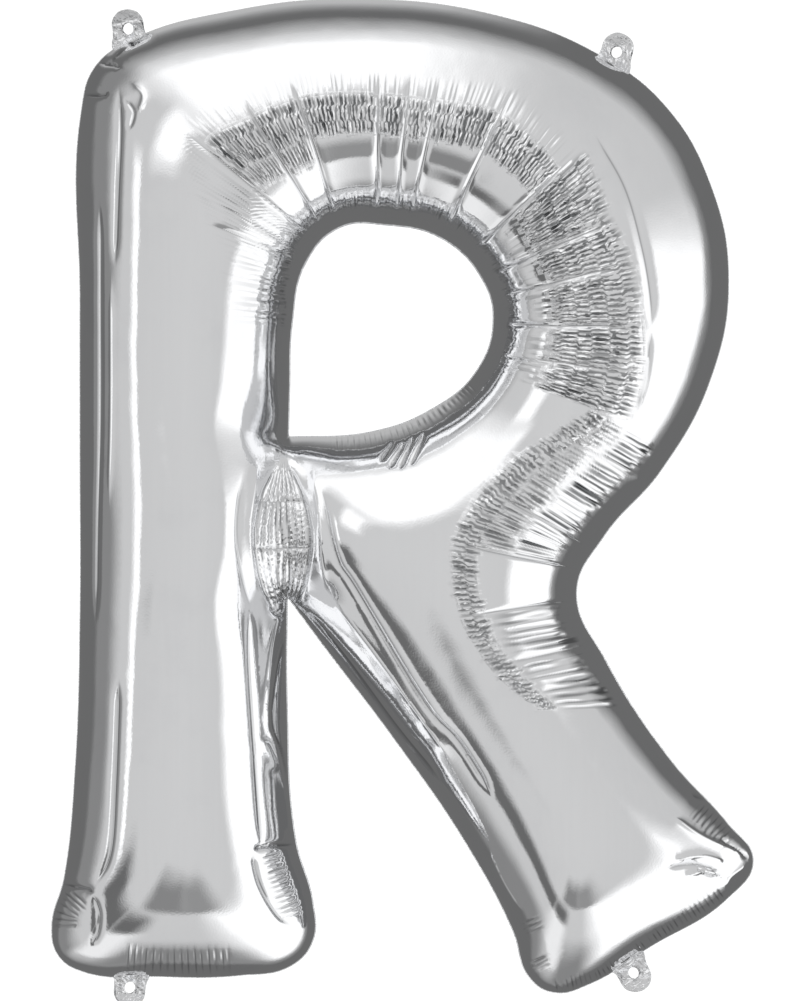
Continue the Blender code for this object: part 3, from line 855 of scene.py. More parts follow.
def pleats(fan, u, v, band, seed):
    """How deep a band of fine pleats presses in, in metres, the painted shade in its tight folds, how
    gathered the film is there, and which pleat it is on.

    Each valley deepens and fades on its own along the pleat, and so does each crest. Its rows may lie like
    bricks.
    """
    rng = np.random.default_rng(seed)
    valleys = pleat_valleys(rng, fan.u[-1], band.pitch)
    phase = np.interp(u, valleys, np.arange(len(valleys)))
    phase += PLEAT_SWAY * smooth_noise(seed + 1, np.column_stack([u, v]), (3 * band.pitch, SWAY_LENGTH))
    row = band.rows * np.clip((v - band.fade_in[0]) / (band.fade_out[1] - band.fade_in[0]), 0, 0.999)
    phase += band.bricks * (np.floor(row) % 2)
    crest = 0.5 + PLEAT_LEAN * per_pleat(rng, -1, 1, valleys, np.floor(phase).astype(int))
    index = np.round(phase).astype(int)
    size = per_pleat(rng, *PLEAT_SIZES, valleys, index)
    start_wander = per_pleat(rng, -1, 1, valleys, index) * band.wander
    fade_in = ramp(v + start_wander, *band.fade_in)
    fade_out = 1 - ramp(v + 0.5 * start_wander, *band.fade_out)
    reach = band.soft * fan.u[-1] / (len(fan.spoke_u) - 1)
    first, last = (fan.spoke_u[k] for k in band.spokes)
    sides = ramp(u, first, first + reach) * (1 - ramp(u, last - reach, last))
    deep = leaning_valley(phase, crest)
    dashes = smooth_noise(seed + 2, np.column_stack([phase, v]), (1, band.dash))
    dents = smooth_noise(seed + 3, np.column_stack([phase + 0.5, v]), (1, band.dash))
    shape = deep * (VALLEY_DEPTH + VALLEY_CHANGE * dashes)
    shape = shape + CREST_DENTS * (1 - deep) * (1 + dents) - PLEAT_RISE
    presence = size * fade_in * fade_out * sides
    present = np.minimum(presence, 1)
    # Painted shade: the valleys are darkened, more where a dash runs.
    painted_shade = band.shade * present * ramp(deep + VALLEY_CHANGE * dashes, *PLEAT_DARK)
    pressed = band.height * presence * shape
    if band.rows > 1:
        pressed += ROW_HEIGHT * present * np.sin(math.tau * row)
    return pressed, painted_shade, band.sparkle * present, phase


def gores(fan, u, v, creases, crease_depth, seed):
    """The deep creases of a fan and the rounded gores between them.

    Gives metres pressed in, how clear each point is of the creases (0 on one), and the painted shade of the
    dark line along each crease.
    """
    rng = np.random.default_rng(seed)
    spokes = np.array(sorted(creases))
    places = fan.spoke_u[spokes]
    strengths = np.array([creases[k] for k in spokes])
    wander = np.array([
        np.interp(v, np.linspace(0, 1, CREASE_TURNS), rng.uniform(-1, 1, CREASE_TURNS)) * CREASE_WANDER
        for _ in spokes
    ])
    spread = fan.root_spread + (1 - fan.root_spread) * v ** fan.growth
    reach = ramp(v, *CREASE_FADE_IN) * (1 - ramp(v, *CREASE_FADE_OUT))
    depth = np.zeros(len(u))
    clear = np.ones(len(u))
    painted_shade = np.zeros(len(u))
    for place, strength, shift in zip(places, strengths, wander):
        off = np.abs(u - place + shift) * spread
        strong = min(strength, 1)
        sharp = np.clip(1 - off / (CREASE_WIDTH * strength), 0, 1) ** CREASE_SHARPNESS
        dip = CREASE_DIP * np.exp(-(off / CREASE_DIP_WIDTH) ** 2)
        depth += reach * (strength * crease_depth * sharp + dip)
        clear *= 1 - strong * reach * np.exp(-(off / CREASE_CLEAR) ** 2)
        # Painted shade: a thin dark line along the crease's bottom.
        painted_shade = np.maximum(painted_shade, CREASE_SHADE * strong * reach * np.exp(-(off / CREASE_LINE) ** 2))
    share = np.interp(u, places, np.arange(len(places)))
    gap = np.interp(u, (places[1:] + places[:-1]) / 2, np.diff(places))
    between = (1 - (2 * (share % 1) - 1) ** 2) * ((u > places[0]) & (u < places[-1]))
    depth -= GORE_BULGE * gap * spread * between * reach
    return depth, clear, painted_shade


def path_places(points, path):
    """For each point, how far along the path it lies and how far off to the left; and the path's length."""
    run = 0
    best = np.full(len(points), np.inf)
    run_at = np.zeros(len(points))
    off_at = np.zeros(len(points))
    for start, end in zip(path, path[1:]):
        edge = end - start
        length = np.linalg.norm(edge)
        share = np.clip((points - start) @ edge / length ** 2, 0, 1)
        away = points - start - share[:, None] * edge
        gap = lengths(away)
        nearer = gap < best
        side = np.sign(edge[0] * away[:, 1] - edge[1] * away[:, 0])
        best[nearer] = gap[nearer]
        run_at[nearer] = (run + share * length)[nearer]
        off_at[nearer] = (side * gap)[nearer]
        run += length
    return run_at, off_at, run


def smooth_path(points):
    """The smooth curve through a path's few points, as close-set points."""
    points = np.array(points, float)
    return through(points, np.linspace(0, len(points) - 1, PATH_STEPS * len(points)))


def ribbon(path, step, offsets):
    """Points along a path at even steps, in rows beside it."""
    run = run_of(path)
    at = np.linspace(0, run[-1], max(2, round(run[-1] / step)))
    places = np.column_stack([np.interp(at, run, path[:, axis]) for axis in (0, 1)])
    way = unit(np.gradient(places, axis=0))
    side = np.column_stack([-way[:, 1], way[:, 0]])
    return np.vstack([places + offset * side for offset in offsets])


def fine_places():
    """Close-set points along the folds, over the rows of ribs and on the spindle, in millimetres."""
    axis = smooth_path(SPINDLE)
    rows = ribbon(axis, SPINDLE_STEP, [0])
    share = np.linspace(0, 1, len(rows))
    half = np.interp(share, *np.transpose(SPINDLE_HALVES))
    across = np.linspace(-SPINDLE_REACH, SPINDLE_REACH, SPINDLE_COLUMNS)
    places = [rows + np.column_stack([column * half, np.zeros(len(rows))]) for column in across]
    for row in RIBS:
        offsets = np.linspace(-row.reach, row.reach, RIB_ROWS)
        places.append(ribbon(smooth_path(row.points), RIB_STEP, offsets))
    for fold in FOLDS:
        offsets = [way * fold.width * offset for offset in FOLD_OFFSETS for way in (-1, 1)][1:]
        places.append(ribbon(smooth_path(fold.points), FOLD_STEP, offsets))
    return np.vstack(places)


def beside_path(places, points, reach):
    """Which places lie near a path, how far along and off to the left each of those is, and its length."""
    path = smooth_path(points)
    low, high = path.min(axis=0) - reach, path.max(axis=0) + reach
    close = ((places > low) & (places < high)).all(axis=1)
    return close, *path_places(places[close], path)


def single_folds(places):
    """The folds pressed into or raised from the film, in millimetres, and the painted shade line in each."""
    depth = np.zeros(len(places))
    painted_shade = np.zeros(len(places))
    for fold in FOLDS:
        close, run, off, length = beside_path(places, fold.points, FOLD_SPREAD * fold.width)
        ends = ramp(run, 0, fold.fade) * ramp(length - run, 0, fold.fade)
        depth[close] += fold.depth * ends * np.exp(-np.abs(off) / fold.width)
        if fold.depth > 0:
            # Painted shade: a dark line along the bottom of a fold that is pressed in.
            line = FOLD_SHADE * ends * np.exp(-(off / FOLD_LINE) ** 2)
            painted_shade[close] = np.maximum(painted_shade[close], line)
    return depth, painted_shade


def rib_rows(places, seed):
    """Rows of short ribs across a path, in millimetres, and the painted shade between two."""
    depth = np.zeros(len(places))
    painted_shade = np.zeros(len(places))
    for number, row in enumerate(RIBS):
        rng = np.random.default_rng(seed + number)
        close, run, off, length = beside_path(places, row.points, RIB_SPREAD * row.reach)
        valleys = pleat_valleys(rng, length + 4 * row.pitch, row.pitch)
        phase = np.interp(run, valleys, np.arange(len(valleys)))
        index = np.round(phase).astype(int)
        size = per_pleat(rng, *RIB_SIZES, valleys, index)
        reach = row.reach * per_pleat(rng, *RIB_REACHES, valleys, index)
        ends = ramp(run, 0, row.pitch) * ramp(length - run, 0, row.pitch)
        present = ends * np.exp(-(off / reach) ** 4)
        depth[close] += row.height * size * present * valley(phase)
        # Painted shade between the ribs.
        painted_shade[close] = np.maximum(painted_shade[close], RIB_SHADE * present * ramp(valley(phase), *RIB_DARK))
    return depth, painted_shade


def spindle(places, seed):
    """The gathered spindle: long ribs with beads, two creases across and a sharp edge, in millimetres.

    Also the painted shade in its folds and along its edge, and which rib it is on, how far down, and how
    gathered it is.
    """
    depth = np.zeros(len(places))
    painted_shade = np.zeros(len(places))
    gather = np.zeros((len(places), 3))
    widest = max(half for share, half in SPINDLE_HALVES)
    close, run, off, length = beside_path(places, SPINDLE, 2 * widest)
    half = np.interp(run / length, *np.transpose(SPINDLE_HALVES))
    share = off / half
    within = 1 - ramp(np.abs(share), SPINDLE_FULL, 1)
    cells = np.column_stack([share * SPINDLE_RIBS, run])
    wander = smooth_noise(seed, cells, SPINDLE_WANDER_CELLS)
    phase = share * SPINDLE_RIBS + SPINDLE_WANDER * wander
    uneven = 1 + SPINDLE_UNEVEN * smooth_noise(seed + 1, cells, SPINDLE_UNEVEN_CELLS)
    ribs = SPINDLE_RIB_HEIGHT * valley(phase) * uneven
    row = run / SPINDLE_BEAD + 0.5 * (np.floor(phase + 0.5) % 2)
    beads = SPINDLE_BEAD_HEIGHT * valley(row)
    edge = np.exp(-np.abs(np.abs(off) - half) / SPINDLE_EDGE_WIDTH) * ramp(half, *SPINDLE_EDGE_FROM)
    height = places[close, 1]
    creases = sum(np.exp(-np.abs(height - level) / SPINDLE_CREASE_WIDTH) for level in SPINDLE_CREASES)
    present = within * ramp(half, *SPINDLE_RIBS_FROM)
    depth[close] = present * (ribs + beads + SPINDLE_CREASE_DEPTH * creases) + SPINDLE_EDGE_DEPTH * edge
    # Painted shade in the rib valleys, in the creases and along the edge.
    dark = np.maximum(ramp(valley(phase) + 0.3 * wander, *SPINDLE_DARK), SPINDLE_CREASE_SHADE * creases)
    dark_edge = SPINDLE_EDGE_SHADE * ramp(edge, *SPINDLE_EDGE_DARK)
    painted_shade[close] = np.maximum(SPINDLE_SHADE * (present * dark), dark_edge)
    gather[close] = np.column_stack([phase, MM * run, SPINDLE_SPARKLE * present])
    return depth, painted_shade, gather


def wrinkles(plan, settings, seed):
    """How far the film is pressed in along its normal, in metres, and the attributes its material reads."""
    depth = np.zeros(len(plan.points))
    # How dark each point is painted: the painted shade of creases, pleats, folds, ribs and the spindle.
    painted_shade = np.zeros(len(plan.points))
    gather = np.zeros((len(plan.points), 3))
    for index, (fan, creases, bands) in enumerate(zip(plan.fans, FAN_CREASES, FAN_BANDS)):
        on_fan = plan.where[:, 0] == index
        u, v = plan.where[on_fan, 1:].T
        pressed, clear, shade_mask = gores(fan, u, v, creases, settings.crease_depth, seed + index)
        share = np.zeros(len(u))
        phase = np.zeros(len(u))
        for number, band in enumerate(bands):
            band_seed = seed + FAN_SEED * index + BAND_SEED * number + FIRST_BAND_SEED
            shape, band_shade_mask, gathered, count = pleats(fan, u, v, band, band_seed)
            pressed += settings.pleat_strength * clear * shape
            shade_mask = np.maximum(shade_mask, clear * band_shade_mask)
            phase = np.where(gathered > share, count, phase)
            share = np.maximum(share, gathered)
        depth[on_fan] = pressed
        painted_shade[on_fan] = shade_mask
        gather[on_fan] = np.column_stack([phase, FAN_DEPTH * v ** fan.growth, clear * share])
    places = (plan.points + ORIGIN) / MM
    pinch = ramp(plan.inset, 0, PINCH_REACH)
    *on_spindle, spindle_gather = spindle(places, seed + SPINDLE_SEED)
    for small, shade_mask in (single_folds(places), rib_rows(places, seed + RIB_SEED), on_spindle):
        depth += MM * pinch * small
        painted_shade = np.maximum(painted_shade, pinch * shade_mask)
    stronger = spindle_gather[:, 2] > gather[:, 2]
    gather[stronger] = spindle_gather[stronger]
    return depth, painted_shade, gather


def film_mesh(name, plan, settings, side, seed):
    """One film as a smooth mesh in the frame: side -1 is the front, 1 the back."""
    bulge = RIM_BULGE * (1 - np.exp(-plan.inset / RIM_START)) * np.exp(-plan.inset / RIM_REACH)
    x, z = (plan.points + bulge[:, None] * plan.outward).T
    places = np.column_stack([x, -plan.heights, z])
    normals = vertex_normals(places, plan.triangles)
    depth, painted_shade, gather = wrinkles(plan, settings, seed)
    places -= depth[:, None] * normals
    places[:plan.pinned, 1] = 0
    triangles = plan.triangles
    if side > 0:
        places[:, 1] *= -1
        triangles = triangles[:, ::-1]
    mesh = bpy.data.meshes.new(name)
    mesh.vertices.add(len(places))
    mesh.vertices.foreach_set("co", places.ravel())
    mesh.loops.add(triangles.size)
    mesh.loops.foreach_set("vertex_index", triangles.ravel())
    mesh.polygons.add(len(triangles))
    mesh.polygons.foreach_set("loop_start", np.arange(len(triangles)) * 3)
    mesh.update(calc_edges=True)
    mesh.validate()
    # Painted shade for the material: how dark each point is painted, and where the painted dashes fall.
    mesh.attributes.new("painted_shade", "FLOAT", "POINT").data.foreach_set("value", painted_shade)
    mesh.attributes.new("gather", "FLOAT_VECTOR", "POINT").data.foreach_set("vector", gather.ravel())
    mesh.shade_smooth()
    return mesh


def grid_faces(rows, columns, start):
    """Quads of a grid of points whose columns close round: each row has all of its columns in turn."""
    faces = []
    for row in range(rows - 1):
        for column in range(columns):
            a, b = row * columns + column, row * columns + (column + 1) % columns
            faces.append((start + a, start + b, start + b + columns, start + a + columns))
    return faces


def closed_wall(outer, inner):
    """Points and quads of a thin wall between two such grids of the same size, closed at both ends."""
    rows, columns = outer.shape[:2]
    points = np.vstack([outer.reshape(-1, 3), inner.reshape(-1, 3)])
    count = rows * columns
    faces = grid_faces(rows, columns, 0)
    faces += [face[::-1] for face in grid_faces(rows, columns, count)]
    for row in (0, rows - 1):
        for column in range(columns):
            a, b = row * columns + column, row * columns + (column + 1) % columns
            face = (b, a, count + a, count + b)
            faces.append(face if row == 0 else face[::-1])
    return points, faces


def mesh_of(name, parts):
    """One mesh of several closed walls, each with its faces pointing out."""
    shape = bmesh.new()
    for points, faces in parts:
        verts = [shape.verts.new(point) for point in points]
        for face in faces:
            shape.faces.new([verts[index] for index in face])
    bmesh.ops.recalc_face_normals(shape, faces=shape.faces)
    mesh = bpy.data.meshes.new(name)
    shape.to_mesh(mesh)
    shape.free()
    mesh.shade_smooth()
    return mesh


def add_node(tree, kind, inputs=None, **settings):
    """A new node, with its settings made, its plain values set and its linked values joined."""
    node = tree.nodes.new(kind)
    for name, value in settings.items():
        setattr(node, name, value)
    for name, value in (inputs or {}).items():
        socket = node.inputs[name]
        if isinstance(value, bpy.types.NodeSocket):
            tree.links.new(value, socket)
        else:
            socket.default_value = value
    return node


def maths(tree, operation, a, b=0.0):
    """The result of a Math node on two plain numbers or sockets."""
    return add_node(tree, "ShaderNodeMath", {0: a, 1: b}, operation=operation).outputs[0]


def smooth_step(tree, value, low, high, start=0.0, end=1.0):
    """The result of a smooth step from one number where the value is low to another where it is high."""
    return add_node(tree, "ShaderNodeMapRange", {
        "Value": value, "From Min": low, "From Max": high, "To Min": start, "To Max": end,
    }, interpolation_type="SMOOTHSTEP").outputs["Result"]


def noise_at(tree, place, scale, detail, roughness=0.5):
    """The level of a noise texture at a place."""
    return add_node(tree, "ShaderNodeTexNoise", {
        "Vector": place, "Scale": scale, "Detail": detail, "Roughness": roughness,
    }).outputs[0]


def border_tree():
    """Geometry nodes that sweep a thin band along a line and ruffle its cut edge."""
    tree = bpy.data.node_groups.new("welded_border", "GeometryNodeTree")
    tree.interface.new_socket("Band", in_out="OUTPUT", socket_type="NodeSocketGeometry")
    tree.interface.new_socket("Line", in_out="INPUT", socket_type="NodeSocketGeometry")
    for name in ("Step", "Width", "Thickness", "Weld at", "Ruffle", "Pitch", "Seed"):
        tree.interface.new_socket(name, in_out="INPUT", socket_type="NodeSocketFloat")
    tree.interface.new_socket("Material", in_out="INPUT", socket_type="NodeSocketMaterial")
    given = tree.nodes.new("NodeGroupInput").outputs

    evened = add_node(tree, "GeometryNodeResampleCurve", {"Curve": given["Line"], "Length": given["Step"]},
                      mode="LENGTH")
    run = add_node(tree, "GeometryNodeSplineParameter").outputs["Length"]
    line = add_node(tree, "GeometryNodeStoreNamedAttribute",
                    {"Geometry": evened.outputs[0], "Name": "along", "Value": run},
                    data_type="FLOAT", domain="POINT")
    strip = add_node(tree, "GeometryNodeCurvePrimitiveQuadrilateral",
                     {"Width": given["Thickness"], "Height": given["Width"]}, mode="RECTANGLE")
    place = add_node(tree, "GeometryNodeInputPosition").outputs[0]
    place_parts = add_node(tree, "ShaderNodeSeparateXYZ", {0: place})
    across = maths(tree, "ADD", maths(tree, "DIVIDE", place_parts.outputs["Y"], given["Width"]), 0.5)
    profile = add_node(tree, "GeometryNodeStoreNamedAttribute",
                       {"Geometry": strip.outputs[0], "Name": "across", "Value": across},
                       data_type="FLOAT", domain="POINT")
    band = add_node(tree, "GeometryNodeCurveToMesh",
                    {"Curve": line.outputs[0], "Profile Curve": profile.outputs[0]})

    stored = [
        add_node(tree, "GeometryNodeInputNamedAttribute", {"Name": name}, data_type="FLOAT").outputs[0]
        for name in ("across", "along")
    ]
    from_weld = maths(tree, "ABSOLUTE", maths(tree, "SUBTRACT", stored[0], given["Weld at"]))
    noise = add_node(tree, "ShaderNodeTexNoise",
                     {"Vector": place, "W": given["Seed"], "Detail": 1.0,
                      "Scale": maths(tree, "DIVIDE", 1.0, given["Pitch"])}, noise_dimensions="4D")
    uneven = maths(tree, "MULTIPLY", maths(tree, "SUBTRACT", noise.outputs[0], 0.5), RUFFLE_NOISE)
    turn = maths(tree, "DIVIDE", maths(tree, "MULTIPLY", stored[1], math.tau), given["Pitch"])
    wave = maths(tree, "ADD", maths(tree, "MULTIPLY", maths(tree, "SINE", turn), RUFFLE_WAVE), uneven)
    shift = maths(tree, "MULTIPLY", maths(tree, "MULTIPLY", wave, given["Ruffle"]), from_weld)
    offset = add_node(tree, "ShaderNodeCombineXYZ", {"Y": shift})
    ruffled = add_node(tree, "GeometryNodeSetPosition",
                       {"Geometry": band.outputs[0], "Offset": offset.outputs[0]})
    real = add_node(tree, "GeometryNodeRealizeInstances", {"Geometry": ruffled.outputs[0]})
    coated = add_node(tree, "GeometryNodeSetMaterial",
                      {"Geometry": real.outputs[0], "Material": given["Material"]})
    output = tree.nodes.new("NodeGroupOutput")
    tree.links.new(coated.outputs[0], output.inputs[0])
    return tree


def line_object(name, loop):
    """A closed line in the seam plane, from its highest point on."""
    curve = bpy.data.curves.new(name, "CURVE")
    curve.dimensions = "3D"
    spline = curve.splines.new("POLY")
    loop = np.roll(loop, -loop[:, 1].argmax(), axis=0)
    spline.points.add(len(loop) - 1)
    spline.use_cyclic_u = True
    for point, (x, z) in zip(spline.points, loop):
        point.co = (x, 0, z, 1)
    thing = bpy.data.objects.new(name, curve)
    bpy.context.scene.collection.objects.link(thing)
    return thing


def border_mesh(name, tree, loop, values):
    """The band that the tree sweeps along a loop, as a plain mesh."""
    line = line_object(name + "_line", loop)
    modifier = line.modifiers.new("border", "NODES")
    modifier.node_group = tree
    for socket in tree.interface.items_tree:
        if socket.in_out == "INPUT" and socket.name in values:
            modifier[socket.identifier] = values[socket.name]
    bpy.context.view_layer.update()
    graph = bpy.context.evaluated_depsgraph_get()
    mesh = bpy.data.meshes.new_from_object(line.evaluated_get(graph))
    bpy.data.objects.remove(line)
    mesh.name = name
    shape = bmesh.new()
    shape.from_mesh(mesh)
    bmesh.ops.recalc_face_normals(shape, faces=shape.faces)
    shape.to_mesh(mesh)
    shape.free()
    mesh.shade_flat()
    return mesh


def tongue_reach(ways, root):
    """How far a tab's edge is from its hole's middle, in millimetres, each way round from its tip."""
    up, half = np.transpose(TAB_HALVES)
    tip = TAB_LENGTH - TAB_TIP * np.linspace(1, 0, TAB_END_STEPS) ** 2
    levels = np.concatenate([np.linspace(-root, TAB_LENGTH - TAB_TIP, TAB_SIDE_STEPS), tip])
    side = np.interp(levels, up, half)
    crown = levels > TAB_DOME
    rise = (levels[crown] - TAB_DOME) / (TAB_LENGTH - TAB_DOME)
    side[crown] = np.interp(TAB_DOME, up, half) * np.sqrt(np.maximum(1 - rise ** 2, 0))
    foot = np.linspace(-side[0], side[0], TAB_END_STEPS)
    edge = np.vstack([
        np.column_stack([side, levels]),
        np.column_stack([-side, levels]),
        np.column_stack([foot, np.full(TAB_END_STEPS, -root)]),
    ]) - (0, TAB_HOLE_OFFSET)
    return np.interp(ways, np.arctan2(edge[:, 0], edge[:, 1]), np.hypot(*edge.T), period=math.tau)


def crumple(across, up, seed, height):
    """How far creased foil stands off flat, in millimetres: never below 0."""
    places = np.column_stack([across.ravel(), up.ravel()])
    slanting = places + CRUMPLE_SLANT * places[:, ::-1]
    large = np.abs(smooth_noise(seed, places, CRUMPLE_LARGE))
    small = np.abs(smooth_noise(seed + 1, slanting, CRUMPLE_SMALL))
    return height * (large + CRUMPLE_SMALL_SHARE * small).reshape(across.shape)


def tab_leaf(root_x, root_z, heading, side, settings, seed):
    """One of the two loose layers of a tab: a creased tongue round a punched hole."""
    rng = np.random.default_rng(seed)
    ways = np.linspace(0, math.tau, TAB_COLUMNS, endpoint=False)
    turns = np.linspace(0, math.tau, TAB_EDGE_TURNS)
    wander = np.interp(ways, turns, rng.uniform(-1, 1, TAB_EDGE_TURNS))
    reach = tongue_reach(ways, TAB_ROOT) * (1 + TAB_EDGE_WANDER * wander)
    share = np.linspace(0, 1, TAB_ROWS)[:, None]
    from_hole = TAB_HOLE_RADIUS + (reach - TAB_HOLE_RADIUS) * share
    across = from_hole * np.sin(ways)
    up = TAB_HOLE_OFFSET + from_hole * np.cos(ways)
    free = ramp(up, -TAB_ROOT, TAB_LOOSE)
    creased = 1 - TAB_FLAT * ramp(up, *TAB_FLAT_LEVELS)
    stand = crumple(across, up, seed, settings.crumple / MM) * free * creased
    stand += TAB_BEND * ramp(up + TAB_BEND_SLANT * across, *TAB_BEND_LEVELS)
    stand += TAB_SLOPE * np.maximum(up - TAB_HOLE_OFFSET - TAB_SLOPE_FROM, 0)
    stand += TAB_GAP + settings.spread / MM * ramp(up, TAB_SPREAD_FROM, TAB_LENGTH)
    heading = math.radians(heading + rng.uniform(*TAB_TWIST_SPREAD) * side * TAB_TWIST)
    root = letter([(root_x, root_z)])[0]
    x = root[0] + MM * (across * math.cos(heading) + up * math.sin(heading))
    z = root[1] + MM * (up * math.cos(heading) - across * math.sin(heading))
    wall = settings.leaf_thickness / MM
    layers = [np.stack([x, side * MM * (stand + lift), z], axis=2) for lift in (wall, 0)]
    return closed_wall(*layers)


def neck_wall(settings, seed):
    """The flat sleeve, a little open at its mouth, as one thin wall."""
    length = settings.length / MM
    up = np.linspace(0, 1, NECK_ROWS)[:, None] * length
    ways = np.linspace(0, math.tau, NECK_COLUMNS, endpoint=False)
    half = NECK_WIDTH / 2
    side = np.sign(np.cos(ways)) * np.abs(np.cos(ways)) ** NECK_SHARPNESS
    across = half * side * np.ones_like(up)
    middle = 1 - np.abs(side) ** NECK_FLATNESS
    gape = settings.mouth / MM / 2 * ramp(up, NECK_MOUTH_LEVEL, length)
    open_by = NECK_OPEN + NECK_SWELL * ramp(up, 0, NECK_SWELL_LEVEL) + gape
    places = np.column_stack([across.ravel(), (up * np.ones_like(across)).ravel()])
    sway = smooth_noise(seed, places, NECK_WAVES) + smooth_noise(seed + 1, places, NECK_RIPPLES) / 2
    sway = settings.wrinkle / MM * sway.reshape(across.shape) * ramp(up, *NECK_SWAY_LEVELS)
    height, waves, start = NECK_CUT_WAVE
    cut = height * np.sin(waves * across / half + start) * ramp(up, *NECK_CUT_LEVELS)
    layers = []
    for wall in (0, NECK_WALL):
        depth = sway + np.sin(ways) * np.maximum(open_by * middle - wall, NECK_SLIMMEST)
        x = NECK_X + across * (1 - wall / half)
        z = NECK_Z - NECK_TUCK + up + cut
        layers.append(np.stack([MM * x - ORIGIN[0], MM * depth, MM * z - ORIGIN[1]], axis=2))
    return closed_wall(*layers)


def colour_mix(tree, mask, first, second):
    """The first colour where the mask is 0 and the second where it is 1."""
    mixed = add_node(tree, "ShaderNodeMix", data_type="RGBA")
    for name, value in (("Factor", mask), ("A", first), ("B", second)):
        socket = [item for item in mixed.inputs if item.name == name and item.enabled][0]
        tree.links.new(value, socket)
    return [item for item in mixed.outputs if item.enabled][0]


def shader_group(name, inputs, outputs):
    """A new shader node group: the group, what comes in and what goes out."""
    tree = bpy.data.node_groups.new(name, "ShaderNodeTree")
    for label, kind, value in inputs:
        socket = tree.interface.new_socket(label, in_out="INPUT", socket_type=kind)
        if value is not None:
            socket.default_value = value
    for label, kind in outputs:
        tree.interface.new_socket(label, in_out="OUTPUT", socket_type=kind)
    given = tree.nodes.new("NodeGroupInput").outputs
    taken = tree.nodes.new("NodeGroupOutput").inputs
    return tree, given, taken


def relief_group():
    """Soft dents, creases and fine grain of thin film, as a height in metres."""
    tree, given, taken = shader_group("film_relief", [
        ("Coordinates", "NodeSocketVector", None),
        ("Dent size", "NodeSocketFloat", 0.03), ("Dent height", "NodeSocketFloat", 0.0003),
        ("Crease size", "NodeSocketFloat", 0.006), ("Crease height", "NodeSocketFloat", 0.0),
        ("Grain size", "NodeSocketFloat", 0.0015), ("Grain height", "NodeSocketFloat", 0.00002),
    ], [("Height", "NodeSocketFloat")])
    total = None
    for part in ("Dent", "Grain"):
        scale = maths(tree, "DIVIDE", 1.0, given[part + " size"])
        level = noise_at(tree, given["Coordinates"], scale, 1.5, 0.45)
        height = maths(tree, "MULTIPLY", level, given[part + " height"])
        total = height if total is None else maths(tree, "ADD", total, height)
    cells = add_node(tree, "ShaderNodeTexVoronoi", {
        "Vector": given["Coordinates"], "Scale": maths(tree, "DIVIDE", 1.0, given["Crease size"]),
    }, feature="DISTANCE_TO_EDGE")
    crease = smooth_step(tree, cells.outputs["Distance"], 0.0, CREASE_RIDGE, 1.0, 0.0)
    ridge = maths(tree, "MULTIPLY", crease, given["Crease height"])
    tree.links.new(maths(tree, "ADD", total, ridge), taken["Height"])
    return tree


def wear_and_shade_group():
    """Faint roll streaks, duller handled patches and painted shade in folds: a colour and a roughness."""
    tree, given, taken = shader_group("film_wear_and_shade", [
        ("Coordinates", "NodeSocketVector", None),
        ("Bright", "NodeSocketColor", (1, 1, 1, 1)), ("Dull", "NodeSocketColor", (0.8, 0.8, 0.8, 1)),
        ("Gloss", "NodeSocketFloat", 0.05), ("Handled", "NodeSocketFloat", 0.05),
        # Fold is the colour of the painted shade, and the socket before it is its mask.
        ("Painted shade", "NodeSocketFloat", 0.0), ("Fold", "NodeSocketColor", (0.1, 0.1, 0.1, 1)),
    ], [("Color", "NodeSocketColor"), ("Roughness", "NodeSocketFloat")])
    stretched = add_node(tree, "ShaderNodeMapping", {"Vector": given["Coordinates"], "Scale": STREAK_SCALE})
    streaks = noise_at(tree, stretched.outputs[0], 1.0, 2.0)
    patches = noise_at(tree, given["Coordinates"], PATCH_SCALE, 4.0, 0.6)
    handled = smooth_step(tree, patches, *PATCH_RANGE)
    mask = maths(tree, "ADD", maths(tree, "MULTIPLY", streaks, STREAK_SHARE),
                 maths(tree, "MULTIPLY", handled, 1 - STREAK_SHARE))
    handled_colour = colour_mix(tree, mask, given["Bright"], given["Dull"])
    # Painted shade: the fold colour is laid over the foil by its mask.
    tree.links.new(colour_mix(tree, given["Painted shade"], handled_colour, given["Fold"]), taken["Color"])
    rough = maths(tree, "ADD", given["Gloss"], maths(tree, "MULTIPLY", mask, given["Handled"]))
    tree.links.new(rough, taken["Roughness"])
    return tree


def dash_shade_and_facets(tree):
    """Short dashes of painted shade along the pleats, by the film's attributes: a mask, and a height in
    metres.
    """
    gather = add_node(tree, "ShaderNodeAttribute", attribute_name="gather").outputs["Vector"]
    parts = add_node(tree, "ShaderNodeSeparateXYZ", {0: gather}).outputs
    noises = []
    for length, start in ((DASH_LENGTH, 0.0), (FACET_LENGTH, FACET_START)):
        down = maths(tree, "DIVIDE", parts["Y"], length)
        side = maths(tree, "MULTIPLY", parts["X"], DASHES_ACROSS)
        place = add_node(tree, "ShaderNodeCombineXYZ", {"X": side, "Y": down, "Z": start}).outputs[0]
        noises.append(noise_at(tree, place, 1.0, 1.0))
    crest = maths(tree, "ABSOLUTE", maths(tree, "SINE", maths(tree, "MULTIPLY", parts["X"], math.pi)))
    likely = maths(tree, "SUBTRACT", noises[0], maths(tree, "MULTIPLY", crest, DASH_VALLEY))
    dark = smooth_step(tree, likely, DASH_FROM, DASH_TO)
    # Painted shade: the dashes' mask, which lays the fold colour over the foil.
    mask = maths(tree, "MULTIPLY", maths(tree, "MULTIPLY", dark, parts["Z"]), DASH_SHADE)
    height = maths(tree, "MULTIPLY", maths(tree, "MULTIPLY", noises[1], parts["Z"]), FACET_HEIGHT)
    return mask, height


